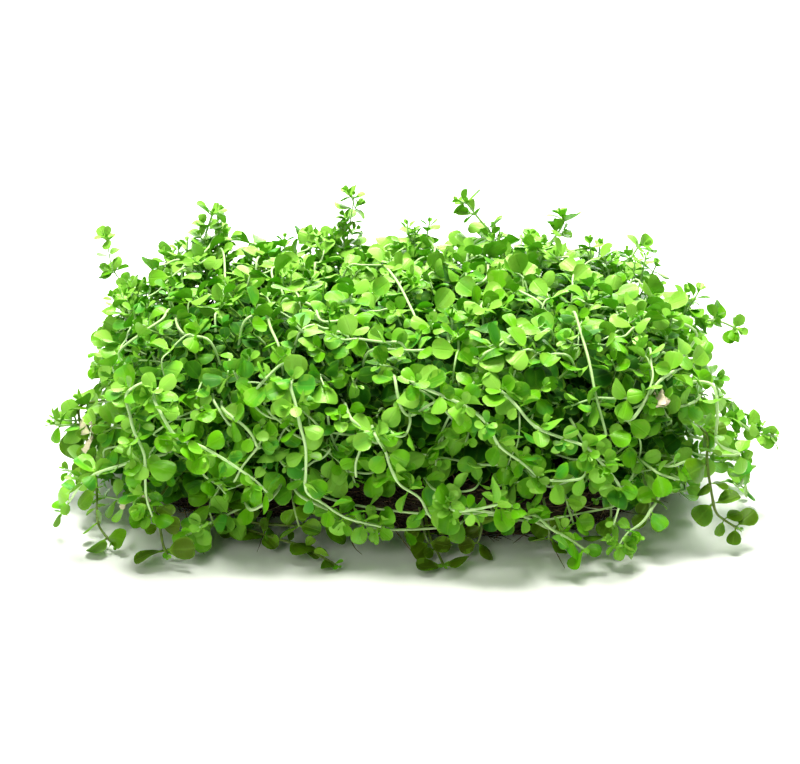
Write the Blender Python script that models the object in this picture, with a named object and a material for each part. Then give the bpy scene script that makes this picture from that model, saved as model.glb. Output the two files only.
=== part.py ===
"""A lifted mat of monte carlo carpet plant: a pad of matted roots, a cushion of small round leaves on it,
and the loose runners and standing shoots round the cushion. Lengths are in millimetres until a mesh is
made. +Z is up, the front is towards -Y, and the origin is in the middle of the pad's flat underside."""

import math
import random

import bmesh
import bpy
from mathutils import Vector, noise
from mathutils.bvhtree import BVHTree
from mathutils.geometry import delaunay_2d_cdt

MM = 0.001
UP = Vector((0, 0, 1))
SQUARE = ((1, 1), (-1, 1), (-1, -1), (1, -1))

# The pad of roots
MAT_HALF_LENGTH = 60.0
MAT_HALF_WIDTH = 38.5
MAT_HEIGHT = 11.0
MAT_SQUARENESS = 2.6
MAT_STEPS = 36
# Height and inset of each ring of its edge, from the flat underside to the top
MAT_EDGE = [(0.0, 3.0), (2.6, 0.4), (7.0, 0.0), (9.6, 1.4), (11.0, 4.5)]
# Where the edge has worn away: bearing in degrees, depth, and half-width in degrees
MAT_WORN = [(-120, 13.0, 26), (-25, 2.0, 12), (160, 2.5, 14), (60, 2.0, 12)]
MAT_RAGGED = 0.9
MAT_RAG_SIZE = 7.0

# The cushion of leaves, without the leaves that stand on it
CUSHION_HALF_LENGTH = 68.0
CUSHION_HALF_WIDTH = 42.0
CUSHION_TOP = 38.5
CUSHION_SQUARENESS = 3.2
CUSHION_CENTRE = Vector((1.5, 0, 0))
CUSHION_LUMP = 2.6
CUSHION_LUMP_SIZE = 17.0
# Its side, from the middle of the top down to the foot: share of the plan's radius, share of the height
CUSHION_SIDE = [(0, 1), (0.3, 1), (0.6, 0.99), (0.82, 0.94), (0.94, 0.8), (0.99, 0.58), (1, 0.32), (0.95, 0)]
# Where it is fuller or leaner: bearing and half-width in degrees, extra reach at the top and at the foot
CUSHION_TRIM = [(5, 36, -4.5, -5.5), (-28, 14, 0.0, 3.5), (158, 20, 5.0, -2.0), (-155, 22, 0.0, 3.0),
                (62, 40, 1.5, 0.0)]
# The foot hangs low round the pad, except along the front, where the pad shows
FOOT_HEIGHT = 5.5
FRONT_FOOT_HEIGHT = 12.6
FRONT_BEARING = -78
FRONT_HALF_WIDTH = 44
PAD_GAP = 0.3
HOLLOW_GAP = 1.0

# The leaves on the cushion
CUSHION_POINTS = 160
FOOT_POINTS = 34
CUSHION_LEAVES = 200
LEAF_RADIUS = 3.5
LEAF_LIFT = 3.6
LEAF_UPWARD = 0.35
LEAF_TRIES = 14
LEAF_TILT = 0.7
LEAF_LEAN = 0.5
LEAF_CLEAR = 0.98
LEAF_OVER_CUSHION = 1.3
LEAF_OUTLINE = [1.2, 0.98, 0.9, 1.05, 0.9, 0.98]
STALK_ROOT = 0.16
STALK_NECK = 0.9
STALK_TAPER = 0.8

# The loose runners
STEM_RADIUS = 0.55
STEM_STEP = 8.0
CURVE_STEPS = 60
STEM_GAP = 1.0
NODE_LENGTH = 1.0
BLADE_HALF_THICKNESS = 0.3
BLADE_STEEPNESS = 0.4
LOWEST_POINT = 0.15
LOWEST_STEM = 1.0
# Along a leaf from its stem: share of its length, half-width as a share of its length, rise
BLADE = [(0.58, 0.43, 0.1), (1.0, 0.15, 0.06)]

COLOURS = {
    "pad": ((0.05, 0.026, 0.012), 0.95),
    "cushion": ((0.16, 0.42, 0.035), 0.5),
    "runner": ((0.27, 0.55, 0.06), 0.45),
}

# Each runner: the points of its stem from where it leaves the cushion to its tip, and its leaf pairs.
# A pair is its place along the stem from 0 to 1, then the length of its left and right leaves.
RUNNERS = {
    "left_long_runner": (
        [(-55, -43, 21), (-59, -44, 20), (-63, -45, 19), (-67, -44, 16), (-70, -41, 11), (-73, -38, 6)],
        [(0.35, 4, 6), (0.65, 0, 4), (0.95, 4, 4)],
    ),
    "left_drop_runner": (
        [(-72, -12, 20), (-71, -17, 16), (-69, -22, 15), (-67, -27, 12), (-66, -33, 8), (-65, -39, 4),
         (-61, -44, 1.5)],
        [(0.15, 0, 8), (0.4, 4, 6), (0.6, 4, 6), (0.93, 6, 6)],
    ),
    "left_front_runner": (
        [(-57, -41, 35), (-56, -45, 32), (-55, -47, 29), (-53, -49, 25), (-53, -49, 20), (-53, -49, 15),
         (-52, -48, 10)],
        [(0.55, 7, 5), (0.78, 4, 6), (1, 5, 5)],
    ),
    "left_crossing_runner": (
        [(-51, -44, 36), (-49, -48, 33), (-46, -50, 29), (-42, -51, 28), (-37, -51, 25), (-33, -51, 22),
         (-30, -50, 19), (-28, -49, 16)],
        [(0.3, 5, 5), (0.5, 5, 6), (1, 5, 5)],
    ),
    "left_hanging_runner": (
        [(-52, -44, 11), (-51, -47, 9), (-50, -50, 5), (-49, -51, 3)],
        [(0.9, 7, 7)],
    ),
    "front_arched_runner": (
        [(-38, -39, 9), (-35, -40, 6), (-32, -40, 4), (-27, -41, 4), (-22, -41, 4), (-17, -42, 6),
         (-14, -43, 8)],
        [(0.4, 3, 5), (0.85, 4, 7)],
    ),
    "front_low_runner": (
        [(-44, -36, 4), (-41, -36, 1), (-37, -38, 1), (-32, -41, 1), (-27, -44, 1), (-22, -46, 1),
         (-18, -49, 1), (-14, -52, 1)],
        [(0.32, 0, 6), (0.64, 0, 7), (0.9, 4, 4)],
    ),
    "front_drop_runner": (
        [(-23, -46, 39), (-22, -49, 36), (-21, -51, 32), (-20, -52, 28), (-20, -52, 23), (-20, -52, 18),
         (-17, -51, 15), (-12, -50, 11), (-5, -48, 8)],
        [(0.22, 5, 5), (0.5, 5, 4), (0.8, 5, 5), (1, 5, 4)],
    ),
    "front_centre_runner": (
        [(-6, -49, 29), (-4, -50, 26), (-3, -51, 23), (-1, -51, 19), (3, -51, 16), (5, -51, 12), (8, -50, 9)],
        [(0.35, 5, 5), (0.75, 4, 4)],
    ),
    "front_trio_runner": (
        [(9, -53, 15), (11, -55, 15), (15, -56, 16), (19, -56, 17), (22, -55, 16)],
        [(0.7, 7, 6), (0.96, 0, 4)],
    ),
    "front_upper_runner": (
        [(3, -47, 39), (10, -50, 37), (14, -51, 35), (17, -52, 32), (19, -52, 28), (24, -52, 24), (27, -52, 21)],
        [(0.3, 5, 5), (0.65, 6, 5), (1, 5, 5)],
    ),
    "front_arc_runner": (
        [(20, -46, 37), (22, -49, 36), (26, -51, 32), (31, -52, 30), (36, -52, 28), (39, -52, 25),
         (43, -52, 20), (44, -51, 16), (43, -49, 9)],
        [(0.25, 6, 5), (0.5, 5, 5), (0.75, 5, 6)],
    ),
    "front_sweep_runner": (
        [(25, -46, 10), (27, -49, 11), (30, -51, 9), (34, -52, 7), (37, -53, 5)],
        [(0.6, 4, 5), (1, 4, 6)],
    ),
    "right_pale_runner": (
        [(53, -42, 13), (51, -46, 11), (49, -48, 9), (46, -49, 7), (44, -51, 5)],
        [(0.35, 5, 0), (1, 4, 3)],
    ),
    "front_floor_pair": (
        [(5, -43, 4), (7, -48, 1.5), (8, -52, 1)],
        [(0.95, 6, 6)],
    ),
    "right_corner_runner": (
        [(63, -36, 24), (63, -40, 19), (64, -42, 13), (65, -43, 9), (67, -43, 7), (70, -43, 5)],
        [(0.3, 0, 8), (0.65, 6, 6), (1, 6, 4)],
    ),
    "right_side_sprig": (
        [(71, -22, 21), (75, -24, 19), (80, -24, 18)],
        [(0.35, 5, 0), (1, 4, 4)],
    ),
    "right_low_runner": (
        [(69, -29, 18), (72, -29, 15), (74, -26, 10), (74, -20, 4), (74, -13, 1.5)],
        [(0.3, 4, 4), (0.65, 4, 5), (1, 4, 4)],
    ),
    "top_tall_shoot": (
        [(20, 22, 44), (20, 22, 49), (17, 22, 53), (14, 22, 57)],
        [(0.45, 5, 5), (1, 4, 5)],
    ),
    "top_left_tuft": (
        [(-47, 24, 42), (-47, 25, 47), (-45, 26, 53)],
        [(0.4, 5, 5), (0.95, 5, 5)],
    ),
    "top_middle_shoot": (
        [(-14, 29, 43), (-13, 30, 49), (-12, 30, 56)],
        [(0.5, 3, 3), (1, 3, 3)],
    ),
    "top_right_pair": (
        [(34, 31, 43), (37, 32, 47), (38, 32, 50)],
        [(0.9, 5, 6)],
    ),
    "left_top_shoot": (
        [(-63, 11, 39), (-67, 12, 44), (-68, 13, 51)],
        [(0.4, 5, 5), (1, 3, 3)],
    ),
    "top_corner_shoot": (
        [(52, 29, 37), (54, 31, 40), (56, 32, 43)],
        [(0.5, 5, 5), (1, 5, 5)],
    ),
    "right_shoulder_shoot": (
        [(68, 13, 30), (72, 13, 31), (77, 13, 29)],
        [(0.4, 6, 5), (1, 4, 4)],
    ),
    "right_back_runner": (
        [(71, 10, 18), (74, 13, 12), (74, 18, 6), (71, 25, 2), (68, 31, 1.2)],
        [(0.25, 5, 6), (0.6, 6, 5), (1, 5, 5)],
    ),
    "back_right_runner": (
        [(42, 46, 24), (39, 50, 18), (34, 51, 11), (28, 52, 5), (21, 54, 1.5), (15, 55, 1.2)],
        [(0.2, 5, 5), (0.45, 5, 6), (0.7, 6, 5), (1, 5, 5)],
    ),
    "back_drop_runner": (
        [(8, 47, 33), (5, 50, 27), (1, 52, 20), (-3, 52, 13), (-5, 52, 7)],
        [(0.25, 5, 5), (0.55, 5, 6), (1, 5, 5)],
    ),
    "back_left_runner": (
        [(-30, 47, 26), (-34, 51, 19), (-38, 52, 11), (-43, 53, 4), (-50, 53, 1.2)],
        [(0.25, 6, 5), (0.6, 5, 5), (1, 5, 5)],
    ),
    "left_back_runner": (
        [(-69, 18, 24), (-72, 22, 17), (-73, 26, 10), (-71, 31, 4), (-66, 36, 1.5)],
        [(0.3, 5, 6), (0.65, 6, 5), (1, 5, 5)],
    ),
}


def wander(point, size, seed):
    """A smooth random number from -1 to 1 that changes over about this size."""
    return noise.noise(Vector(point) / size + Vector((seed, 2 * seed, 3 * seed)))


def through(points, share):
    """The point at this share of the way along a smooth curve through the points."""
    at = share * (len(points) - 1)
    i = min(int(at), len(points) - 2)
    t = at - i
    a, b, c, d = (Vector(points[min(max(k, 0), len(points) - 1)]) for k in range(i - 1, i + 3))
    return ((2 * b) + (c - a) * t + (2 * a - 5 * b + 4 * c - d) * t * t + (3 * b - a - 3 * c + d) * t**3) / 2


def plan_radius(bearing, half_length, half_width, squareness):
    """How far the edge of a rounded rectangle is from its middle, in this direction."""
    across = abs(math.cos(bearing) / half_length) ** squareness
    along = abs(math.sin(bearing) / half_width) ** squareness
    return (across + along) ** (-1 / squareness)


def turn_between(a, b):
    """The smallest angle between two bearings in degrees."""
    return abs((a - b + 180) % 360 - 180)


def mat_radius(bearing):
    """How far the pad's edge is from its middle, in this direction."""
    radius = plan_radius(bearing, MAT_HALF_LENGTH, MAT_HALF_WIDTH, MAT_SQUARENESS)
    for middle, depth, half_width in MAT_WORN:
        radius -= depth * math.exp(-((turn_between(math.degrees(bearing), middle) / half_width) ** 2))
    return radius


def foot_height(bearing):
    """How high the cushion's foot hangs, in this direction."""
    away = turn_between(math.degrees(bearing), FRONT_BEARING) / FRONT_HALF_WIDTH
    return FOOT_HEIGHT + (FRONT_FOOT_HEIGHT - FOOT_HEIGHT) * math.exp(-(away**4))


def cushion_point(bearing, share):
    """A point of the cushion, from the middle of its top at share 0 to its foot at share 1."""
    reach, height = through([(*p, 0) for p in CUSHION_SIDE], share)[:2]
    radius = plan_radius(bearing, CUSHION_HALF_LENGTH, CUSHION_HALF_WIDTH, CUSHION_SQUARENESS)
    for middle, half_width, at_top, at_foot in CUSHION_TRIM:
        near = math.exp(-((turn_between(math.degrees(bearing), middle) / half_width) ** 2))
        radius += near * (at_top * height + at_foot * (1 - height))
    radius *= reach
    foot = foot_height(bearing)
    flat = Vector((math.cos(bearing), math.sin(bearing), 0))
    point = CUSHION_CENTRE + flat * radius + UP * (foot + (CUSHION_TOP - foot) * height)
    out = (flat * reach**3 + UP * height).normalized()
    lump = CUSHION_LUMP * wander(point, CUSHION_LUMP_SIZE, 1) * min(1, 4 * (1 - share))
    return point + out * lump


def side_shares(steps=200, bearing=math.radians(35)):
    """The cushion's area from the middle of its top out to each of these steps, as a share of the whole."""
    total = [0.0]
    for i in range(steps):
        a, b = (cushion_point(bearing, (i + k) / steps) - CUSHION_CENTRE for k in (0, 1))
        total.append(total[-1] + (b - a).length * (a.xy.length + b.xy.length))
    return [x / total[-1] for x in total]


def share_at(area, shares):
    """How far down the cushion's side this share of its area lies."""
    i = next(k for k in range(1, len(shares)) if shares[k] >= area)
    return (i - 1 + (area - shares[i - 1]) / (shares[i] - shares[i - 1])) / (len(shares) - 1)


def make_object(name, bm, kind):
    """The mesh in metres, as an object of this name with its material."""
    bmesh.ops.triangulate(bm, faces=[f for f in bm.faces if len(f.verts) > 4])
    bmesh.ops.scale(bm, vec=(MM, MM, MM), verts=bm.verts)
    mesh = bpy.data.meshes.new(name)
    bm.to_mesh(mesh)
    bm.free()
    mesh.materials.append(material(kind))
    thing = bpy.data.objects.new(name, mesh)
    bpy.context.scene.collection.objects.link(thing)
    return thing


def material(kind):
    """The material of this kind, made once."""
    made = bpy.data.materials.get(kind)
    if made is None:
        colour, roughness = COLOURS[kind]
        made = bpy.data.materials.new(kind)
        made.use_nodes = True
        shader = made.node_tree.nodes["Principled BSDF"]
        shader.inputs["Base Color"].default_value = (*colour, 1)
        shader.inputs["Roughness"].default_value = roughness
        shader.inputs["Metallic"].default_value = 0
    return made


def bridge(bm, lower, upper):
    """The quads between two rings of as many points, and the upper ring."""
    for i in range(len(lower)):
        j = (i + 1) % len(lower)
        bm.faces.new((lower[i], lower[j], upper[j], upper[i]))
    return upper


def root_mat_mesh():
    """The pad: a flat underside, a ragged undercut edge and a rounded top."""
    bm = bmesh.new()
    rings = []
    for height, inset in MAT_EDGE:
        ring = []
        for i in range(MAT_STEPS):
            bearing = 2 * math.pi * i / MAT_STEPS
            flat = Vector((math.cos(bearing), math.sin(bearing), 0))
            radius = mat_radius(bearing) - inset
            radius += MAT_RAGGED * wander(flat * radius + UP * 3 * height, MAT_RAG_SIZE, 5)
            ring.append(bm.verts.new(flat * radius + UP * height))
        rings.append(ring)
    bm.faces.new(reversed(rings[0]))
    for lower, upper in zip(rings, rings[1:]):
        bridge(bm, lower, upper)
    bm.faces.new(rings[-1])
    bm.normal_update()
    return bm


def leaf_on_face(bm, face, middle, facing, radius):
    """Replaces a face by a short stalk that carries a six-sided leaf."""
    corners = list(face.verts)
    centre = face.calc_center_median()
    bm.faces.remove(face)
    root = [bm.verts.new(centre + (v.co - centre) * STALK_ROOT) for v in corners]
    bridge(bm, corners, root)
    under = middle - facing * STALK_NECK
    neck = [bm.verts.new(under + (v.co - centre) * STALK_TAPER) for v in root]
    bridge(bm, root, neck)
    side = neck[0].co - under
    side = (side - facing * side.dot(facing)).normalized()
    other = facing.cross(side)
    rim = []
    for i, reach in enumerate(LEAF_OUTLINE):
        angle = 2 * math.pi * i / len(LEAF_OUTLINE)
        spoke = side * math.cos(angle) + other * math.sin(angle)
        rim.append(bm.verts.new(middle + spoke * radius * reach))
    for i in range(3):
        a, b = neck[i], neck[(i + 1) % 3]
        first, second, third = rim[2 * i], rim[2 * i + 1], rim[(2 * i + 2) % 6]
        bm.faces.new((a, second, first))
        bm.faces.new((a, b, second))
        bm.faces.new((b, third, second))
    bm.faces.new(rim)


def cushion_base():
    """The cushion without its leaves: evenly spread points joined up, a foot, and the hollow for the pad."""
    shares = side_shares()
    golden = math.pi * (3 - math.sqrt(5))
    flat_points = []
    points = []
    for i in range(CUSHION_POINTS):
        area = (i + 0.5) / (CUSHION_POINTS + FOOT_POINTS / 2)
        flat_points.append(Vector((math.cos(i * golden), math.sin(i * golden))) * math.sqrt(area))
        points.append(cushion_point(i * golden, share_at(area, shares)))
    for i in range(FOOT_POINTS):
        bearing = 2 * math.pi * i / FOOT_POINTS
        flat_points.append(Vector((math.cos(bearing), math.sin(bearing))))
        points.append(cushion_point(bearing, 1))
    triangles = delaunay_2d_cdt(flat_points, [], [], 0, 1e-6)[2]
    bm = bmesh.new()
    verts = [bm.verts.new(p) for p in points]
    for triangle in triangles:
        bm.faces.new([verts[i] for i in triangle])
    foot = verts[CUSHION_POINTS:]
    hollow = []
    for i in range(FOOT_POINTS):
        bearing = math.atan2(foot[i].co.y, foot[i].co.x)
        flat = Vector((math.cos(bearing), math.sin(bearing), 0))
        hollow.append(bm.verts.new(flat * (mat_radius(bearing) + HOLLOW_GAP) + UP * (MAT_HEIGHT + PAD_GAP)))
    bridge(bm, list(reversed(foot)), list(reversed(hollow)))
    bm.faces.new(reversed(hollow))
    bm.normal_update()
    return bm, set(verts)


def runner_places(routes):
    """Points along every runner with the room each needs, which the cushion's leaves keep clear of."""
    places = []
    for name, route in routes.items():
        places += [(through(route, i / 12), 3 * STEM_RADIUS) for i in range(13)]
        for place, left, right in RUNNERS[name][1]:
            places.append((through(route, place), max(left, right)))
    return places


def height_over(surface, point):
    """How far this point is outside the surface."""
    nearest, normal = surface.find_nearest(point)[:2]
    return (point - nearest).dot(normal)


def make_leaf_carpet(bm, outside, routes):
    """The cushion with its leaves, each turned its own way and clear of its neighbours."""
    chance = random.Random(11)
    taken = []
    surface = BVHTree.FromBMesh(bm)
    runners = runner_places(routes)
    faces = [f for f in bm.faces if len(f.verts) == 3 and all(v in outside for v in f.verts)]
    chance.shuffle(faces)
    for face in faces:
        if len(taken) == CUSHION_LEAVES:
            break
        centre = face.calc_center_median()
        normal = face.normal.copy()
        radius = LEAF_RADIUS * chance.uniform(0.85, 1.15)
        for attempt in range(LEAF_TRIES):
            aside = Vector([chance.uniform(-1, 1) for i in range(3)])
            facing = (normal + UP * LEAF_UPWARD + aside * LEAF_TILT).normalized()
            lean = facing.cross(aside).normalized() * radius * LEAF_LEAN
            middle = centre + normal * LEAF_LIFT * chance.uniform(0.8, 1.25) + lean
            beside = facing.cross(normal).normalized() * radius
            below = beside.cross(facing)
            low = min(height_over(surface, middle + way) for way in (beside, -beside, below, -below))
            apart = all((middle - p).length > (radius + r) * LEAF_CLEAR for p, r in taken + runners)
            if apart and low > LEAF_OVER_CUSHION:
                taken.append((middle, radius))
                leaf_on_face(bm, face, middle, facing, radius)
                break
    print("leaves on the cushion:", len(taken))
    return make_object("leaf_carpet", bm, "cushion")


def blade_on_face(bm, face, out, length):
    """Grows a leaf from one face of a stem: a narrow stalk, a wide blade that faces up, and a tip."""
    base = list(face.verts)
    centre = face.calc_center_median()
    bm.faces.remove(face)
    out = Vector((out.x, out.y, out.z * BLADE_STEEPNESS)).normalized()
    wide = UP.cross(out).normalized()
    thick = out.cross(wide)
    ring = base
    for share, half_width, rise in BLADE:
        middle = centre + (out * share + UP * rise) * length
        across, through_blade = wide * half_width * length, thick * BLADE_HALF_THICKNESS
        corners = [middle + across * x + through_blade * y for x, y in SQUARE]
        raised = UP * max(0, LOWEST_POINT - min(c.z for c in corners))
        if share == BLADE[0][0]:
            order = best_turn([v.co for v in base], corners)
        ring = bridge(bm, ring, [bm.verts.new(corners[k] + raised) for k in order])
    bm.faces.new(ring)


def best_turn(base, corners):
    """The order of the corners in which they lie nearest to the base's."""
    choices = []
    for way in (1, -1):
        for start in range(4):
            order = [(start + way * k) % 4 for k in range(4)]
            far = sum((base[k] - corners[order[k]]).length for k in range(4))
            choices.append((far, order))
    return min(choices)[1]


def rooted_routes(surfaces):
    """Every runner's route, begun just off the nearest surface that it can have grown from."""
    routes = {}
    for name, (points, pairs) in RUNNERS.items():
        near = min((tree.find_nearest(Vector(points[0])) for tree in surfaces), key=lambda found: found[3])
        start = near[0] + near[1] * STEM_GAP
        routes[name] = [start, *points[(Vector(points[0]) - start).length < 2 * STEM_GAP :]]
    return routes


def make_runner(name, route, pairs):
    """A four-sided stem swept along its route, with leaf pairs grown from two of its sides."""
    curve = [through(route, i / CURVE_STEPS) for i in range(CURVE_STEPS + 1)]
    length = sum((b - a).length for a, b in zip(curve, curve[1:]))
    steps = max(round(length / STEM_STEP), 1)
    shares = {i / steps: None for i in range(steps + 1)}
    half = NODE_LENGTH / 2 / length
    for place, left, right in pairs:
        place = min(place, 1 - half)
        shares = {s: leaves for s, leaves in shares.items() if abs(s - place) > 3 * half}
        shares[place - half] = None
        shares[place + half] = (left, right)
    shares.setdefault(0, None)
    bm = bmesh.new()
    side = None
    ring = None
    for share in sorted(shares):
        ahead = (through(route, min(share + 0.01, 1)) - through(route, max(share - 0.01, 0))).normalized()
        if side is None:
            side = ahead.cross(UP if abs(ahead.z) < 0.85 else Vector((0, 1, 0)))
        side = (side - ahead * side.dot(ahead)).normalized()
        above = side.cross(ahead)
        middle = through(route, share)
        middle.z = max(middle.z, LOWEST_STEM)
        upper = [bm.verts.new(middle + (side * x + above * y) * STEM_RADIUS) for x, y in SQUARE]
        if ring is None:
            bm.faces.new(upper)
        else:
            sides = []
            for i in range(4):
                j = (i + 1) % 4
                sides.append(bm.faces.new((ring[j], ring[i], upper[i], upper[j])))
            if shares[share]:
                left, right = shares[share]
                if left:
                    blade_on_face(bm, sides[1], -side, left)
                if right:
                    blade_on_face(bm, sides[3], side, right)
        ring = upper
    bm.faces.new(reversed(ring))
    bmesh.ops.recalc_face_normals(bm, faces=bm.faces)
    return make_object(name, bm, "runner")


for old in list(bpy.data.objects):
    bpy.data.objects.remove(old)
mat = root_mat_mesh()
cushion, cushion_outside = cushion_base()
stem_routes = rooted_routes([BVHTree.FromBMesh(mat), BVHTree.FromBMesh(cushion)])
make_object("root_mat", mat, "pad")
make_leaf_carpet(cushion, cushion_outside, stem_routes)
for runner in RUNNERS:
    make_runner(runner, stem_routes[runner], RUNNERS[runner][1])
print("triangles:", sum(sum(len(p.vertices) - 2 for p in o.data.polygons) for o in bpy.data.objects))
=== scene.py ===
# %% [markdown]
# # A lifted mat of monte carlo carpet plant
# Monte carlo is a small creeping water plant. Its thin pale stems carry round leaves in opposite pairs,
# each pair turned a quarter against the last, and where a stem lies on the ground it roots. A grown
# carpet lifted out of the sand is a springy cushion of shoots on a dark pad of matted roots.
#
# Thousands of leaves can't be placed by hand. So the script grows them: Python works out where each
# shoot runs and where each leaf sits, and Geometry Nodes turns those paths and points into tubes and
# leaf meshes. Lengths are in millimetres until a mesh is made. +Z is up and the front is towards -Y.

# %% Load the fixed frame
import math
import random

import bpy
import numpy as np
from mathutils import Matrix, Vector, noise
from mathutils.bvhtree import BVHTree


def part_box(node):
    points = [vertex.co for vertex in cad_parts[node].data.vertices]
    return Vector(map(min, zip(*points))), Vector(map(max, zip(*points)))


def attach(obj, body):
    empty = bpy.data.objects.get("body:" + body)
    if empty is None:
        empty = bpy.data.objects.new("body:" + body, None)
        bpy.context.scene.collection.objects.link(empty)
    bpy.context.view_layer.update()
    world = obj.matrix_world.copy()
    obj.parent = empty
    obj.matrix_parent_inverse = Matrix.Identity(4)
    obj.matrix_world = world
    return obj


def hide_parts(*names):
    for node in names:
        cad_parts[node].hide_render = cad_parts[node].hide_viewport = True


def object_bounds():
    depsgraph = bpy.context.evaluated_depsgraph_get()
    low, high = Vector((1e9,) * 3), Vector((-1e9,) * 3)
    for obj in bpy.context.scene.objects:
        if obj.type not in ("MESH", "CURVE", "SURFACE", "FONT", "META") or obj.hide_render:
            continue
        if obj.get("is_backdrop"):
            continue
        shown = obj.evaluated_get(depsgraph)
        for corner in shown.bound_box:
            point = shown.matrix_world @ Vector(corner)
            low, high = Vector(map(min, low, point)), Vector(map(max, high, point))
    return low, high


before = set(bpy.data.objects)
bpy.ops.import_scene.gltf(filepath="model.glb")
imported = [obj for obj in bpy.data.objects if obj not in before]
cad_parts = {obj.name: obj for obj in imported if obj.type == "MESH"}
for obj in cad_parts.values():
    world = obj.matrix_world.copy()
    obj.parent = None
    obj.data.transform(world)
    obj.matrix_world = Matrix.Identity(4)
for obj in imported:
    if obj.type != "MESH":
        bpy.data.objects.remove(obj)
cad_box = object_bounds()
MM = 0.001
UP = Vector((0, 0, 1))
cushion_low, cushion_high = (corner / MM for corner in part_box("leaf_carpet"))
pad_low, pad_high = (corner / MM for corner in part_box("root_mat"))
print("cushion, mm:", [round(x, 1) for x in cushion_high - cushion_low])

# %% [markdown]
# ## The camera, the floor and the light
# The camera comes first, so that every piece can be looked at from the photograph's side while it is
# made. It looks down on the mat from 22 degrees through a long lens, which keeps the far edge nearly as
# large as the near one. A wide pale floor fills the whole view, so there is no horizon.

# %% Camera
CAMERA_TARGET = Vector((0, 0, 22))
CAMERA_DISTANCE = 430
CAMERA_RISE = math.radians(22)
CAMERA_LENS = 85
IMAGE_WIDTH, IMAGE_HEIGHT = 800, 764
TARGET_PIXEL = (405, 377)

camera = bpy.data.objects.new("camera", bpy.data.cameras.new("camera"))
bpy.context.scene.collection.objects.link(camera)
back_to_camera = Vector((0, -math.cos(CAMERA_RISE), math.sin(CAMERA_RISE)))
camera.location = (CAMERA_TARGET + back_to_camera * CAMERA_DISTANCE) * MM
camera.rotation_euler = (-back_to_camera).to_track_quat("-Z", "Y").to_euler()
camera.data.lens = CAMERA_LENS
camera.data.clip_start = 0.02
camera.data.shift_x = (IMAGE_WIDTH / 2 - TARGET_PIXEL[0]) / IMAGE_WIDTH
camera.data.shift_y = (TARGET_PIXEL[1] - IMAGE_HEIGHT / 2) / IMAGE_WIDTH
bpy.context.scene.camera = camera
print("camera at, m:", [round(x, 3) for x in camera.location])

# %% Floor, sky and lamps
FLOOR_SIZE = 6.0
SKY = (0.88, 1.0, 0.78)
SKY_STRENGTH = 0.2
# Each lamp: place in mm, size in mm, strength in watts, colour
LAMPS = {
    "overhead": ((-10, 100, 640), 340, 10.0, (1.0, 1.0, 0.92)),
    "front": ((-260, -520, 380), 260, 1.0, (1.0, 0.99, 0.92)),
    "back": ((60, 620, 330), 620, 5.5, (0.95, 1.0, 0.97)),
}

bpy.context.scene.view_settings.view_transform = "Standard"
world = bpy.data.worlds.new("studio")
world.use_nodes = True
world.node_tree.nodes["Background"].inputs["Color"].default_value = (*SKY, 1)
world.node_tree.nodes["Background"].inputs["Strength"].default_value = SKY_STRENGTH
bpy.context.scene.world = world
for lamp_name, (place, size, strength, colour) in LAMPS.items():
    lamp = bpy.data.objects.new(lamp_name, bpy.data.lights.new(lamp_name, "AREA"))
    lamp.data.size = size * MM
    lamp.data.energy = strength
    lamp.data.color = colour
    lamp.location = Vector(place) * MM
    lamp.rotation_euler = (Vector(place) - CAMERA_TARGET).to_track_quat("Z", "Y").to_euler()
    bpy.context.scene.collection.objects.link(lamp)
floor_mesh = bpy.data.meshes.new("floor")
half_floor = FLOOR_SIZE / 2
floor_corners = [(x, y, 0) for x, y in ((-1, -1), (1, -1), (1, 1), (-1, 1))]
floor_mesh.from_pydata([Vector(c) * half_floor for c in floor_corners], [], [(0, 1, 2, 3)])
floor = bpy.data.objects.new("floor", floor_mesh)
bpy.context.scene.collection.objects.link(floor)
floor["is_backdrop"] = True
print("lamps:", len(LAMPS))

# %% [markdown]
# ## Helpers for node trees
# Shader trees and Geometry Nodes trees are both built from nodes and links. Two small helpers keep that
# readable: one method adds any node with its settings and inputs, and one class lets ordinary
# arithmetic on an output add the Math nodes.

# %% Nodes from Python expressions
def find_socket(sockets, key):
    """A socket by its identifier, or else by its name or number."""
    for socket in sockets:
        if socket.identifier == key:
            return socket
    return sockets[key]


class Value:
    """One output of a node, on which arithmetic adds Math nodes."""

    def __init__(self, tree, socket):
        self.tree = tree
        self.socket = socket

    def math(self, operation, *values):
        return add_node(self.tree, "ShaderNodeMath", {"operation": operation}, dict(enumerate(values)))()

    def __add__(self, other):
        return self.math("ADD", self, other)

    def __sub__(self, other):
        return self.math("SUBTRACT", self, other)

    def __rsub__(self, other):
        return self.math("SUBTRACT", other, self)

    def __mul__(self, other):
        return self.math("MULTIPLY", self, other)

    def __abs__(self):
        return self.math("ABSOLUTE", self)

    __radd__ = __add__
    __rmul__ = __mul__


def add_node(tree, kind, settings=(), sockets=()):
    """Adds a node, sets its settings, then its inputs, and returns a function that gives its outputs."""
    made = tree.nodes.new(kind)
    for name, value in dict(settings).items():
        setattr(made, name, value)
    for key, value in dict(sockets).items():
        socket = find_socket(made.inputs, key)
        if isinstance(value, Value):
            tree.links.new(value.socket, socket)
        elif isinstance(value, list):
            for branch in value:
                tree.links.new(branch.socket, socket)
        elif socket.type == "RGBA":
            socket.default_value = (*value, 1)
        else:
            socket.default_value = value
    return lambda key=0: Value(tree, find_socket(made.outputs, key))


def mix_colour(tree, share, first, second):
    """A colour between two colours."""
    return add_node(tree, "ShaderNodeMix", {"data_type": "RGBA"},
                    {"Factor_Float": share, "A_Color": first, "B_Color": second})("Result_Color")


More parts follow.
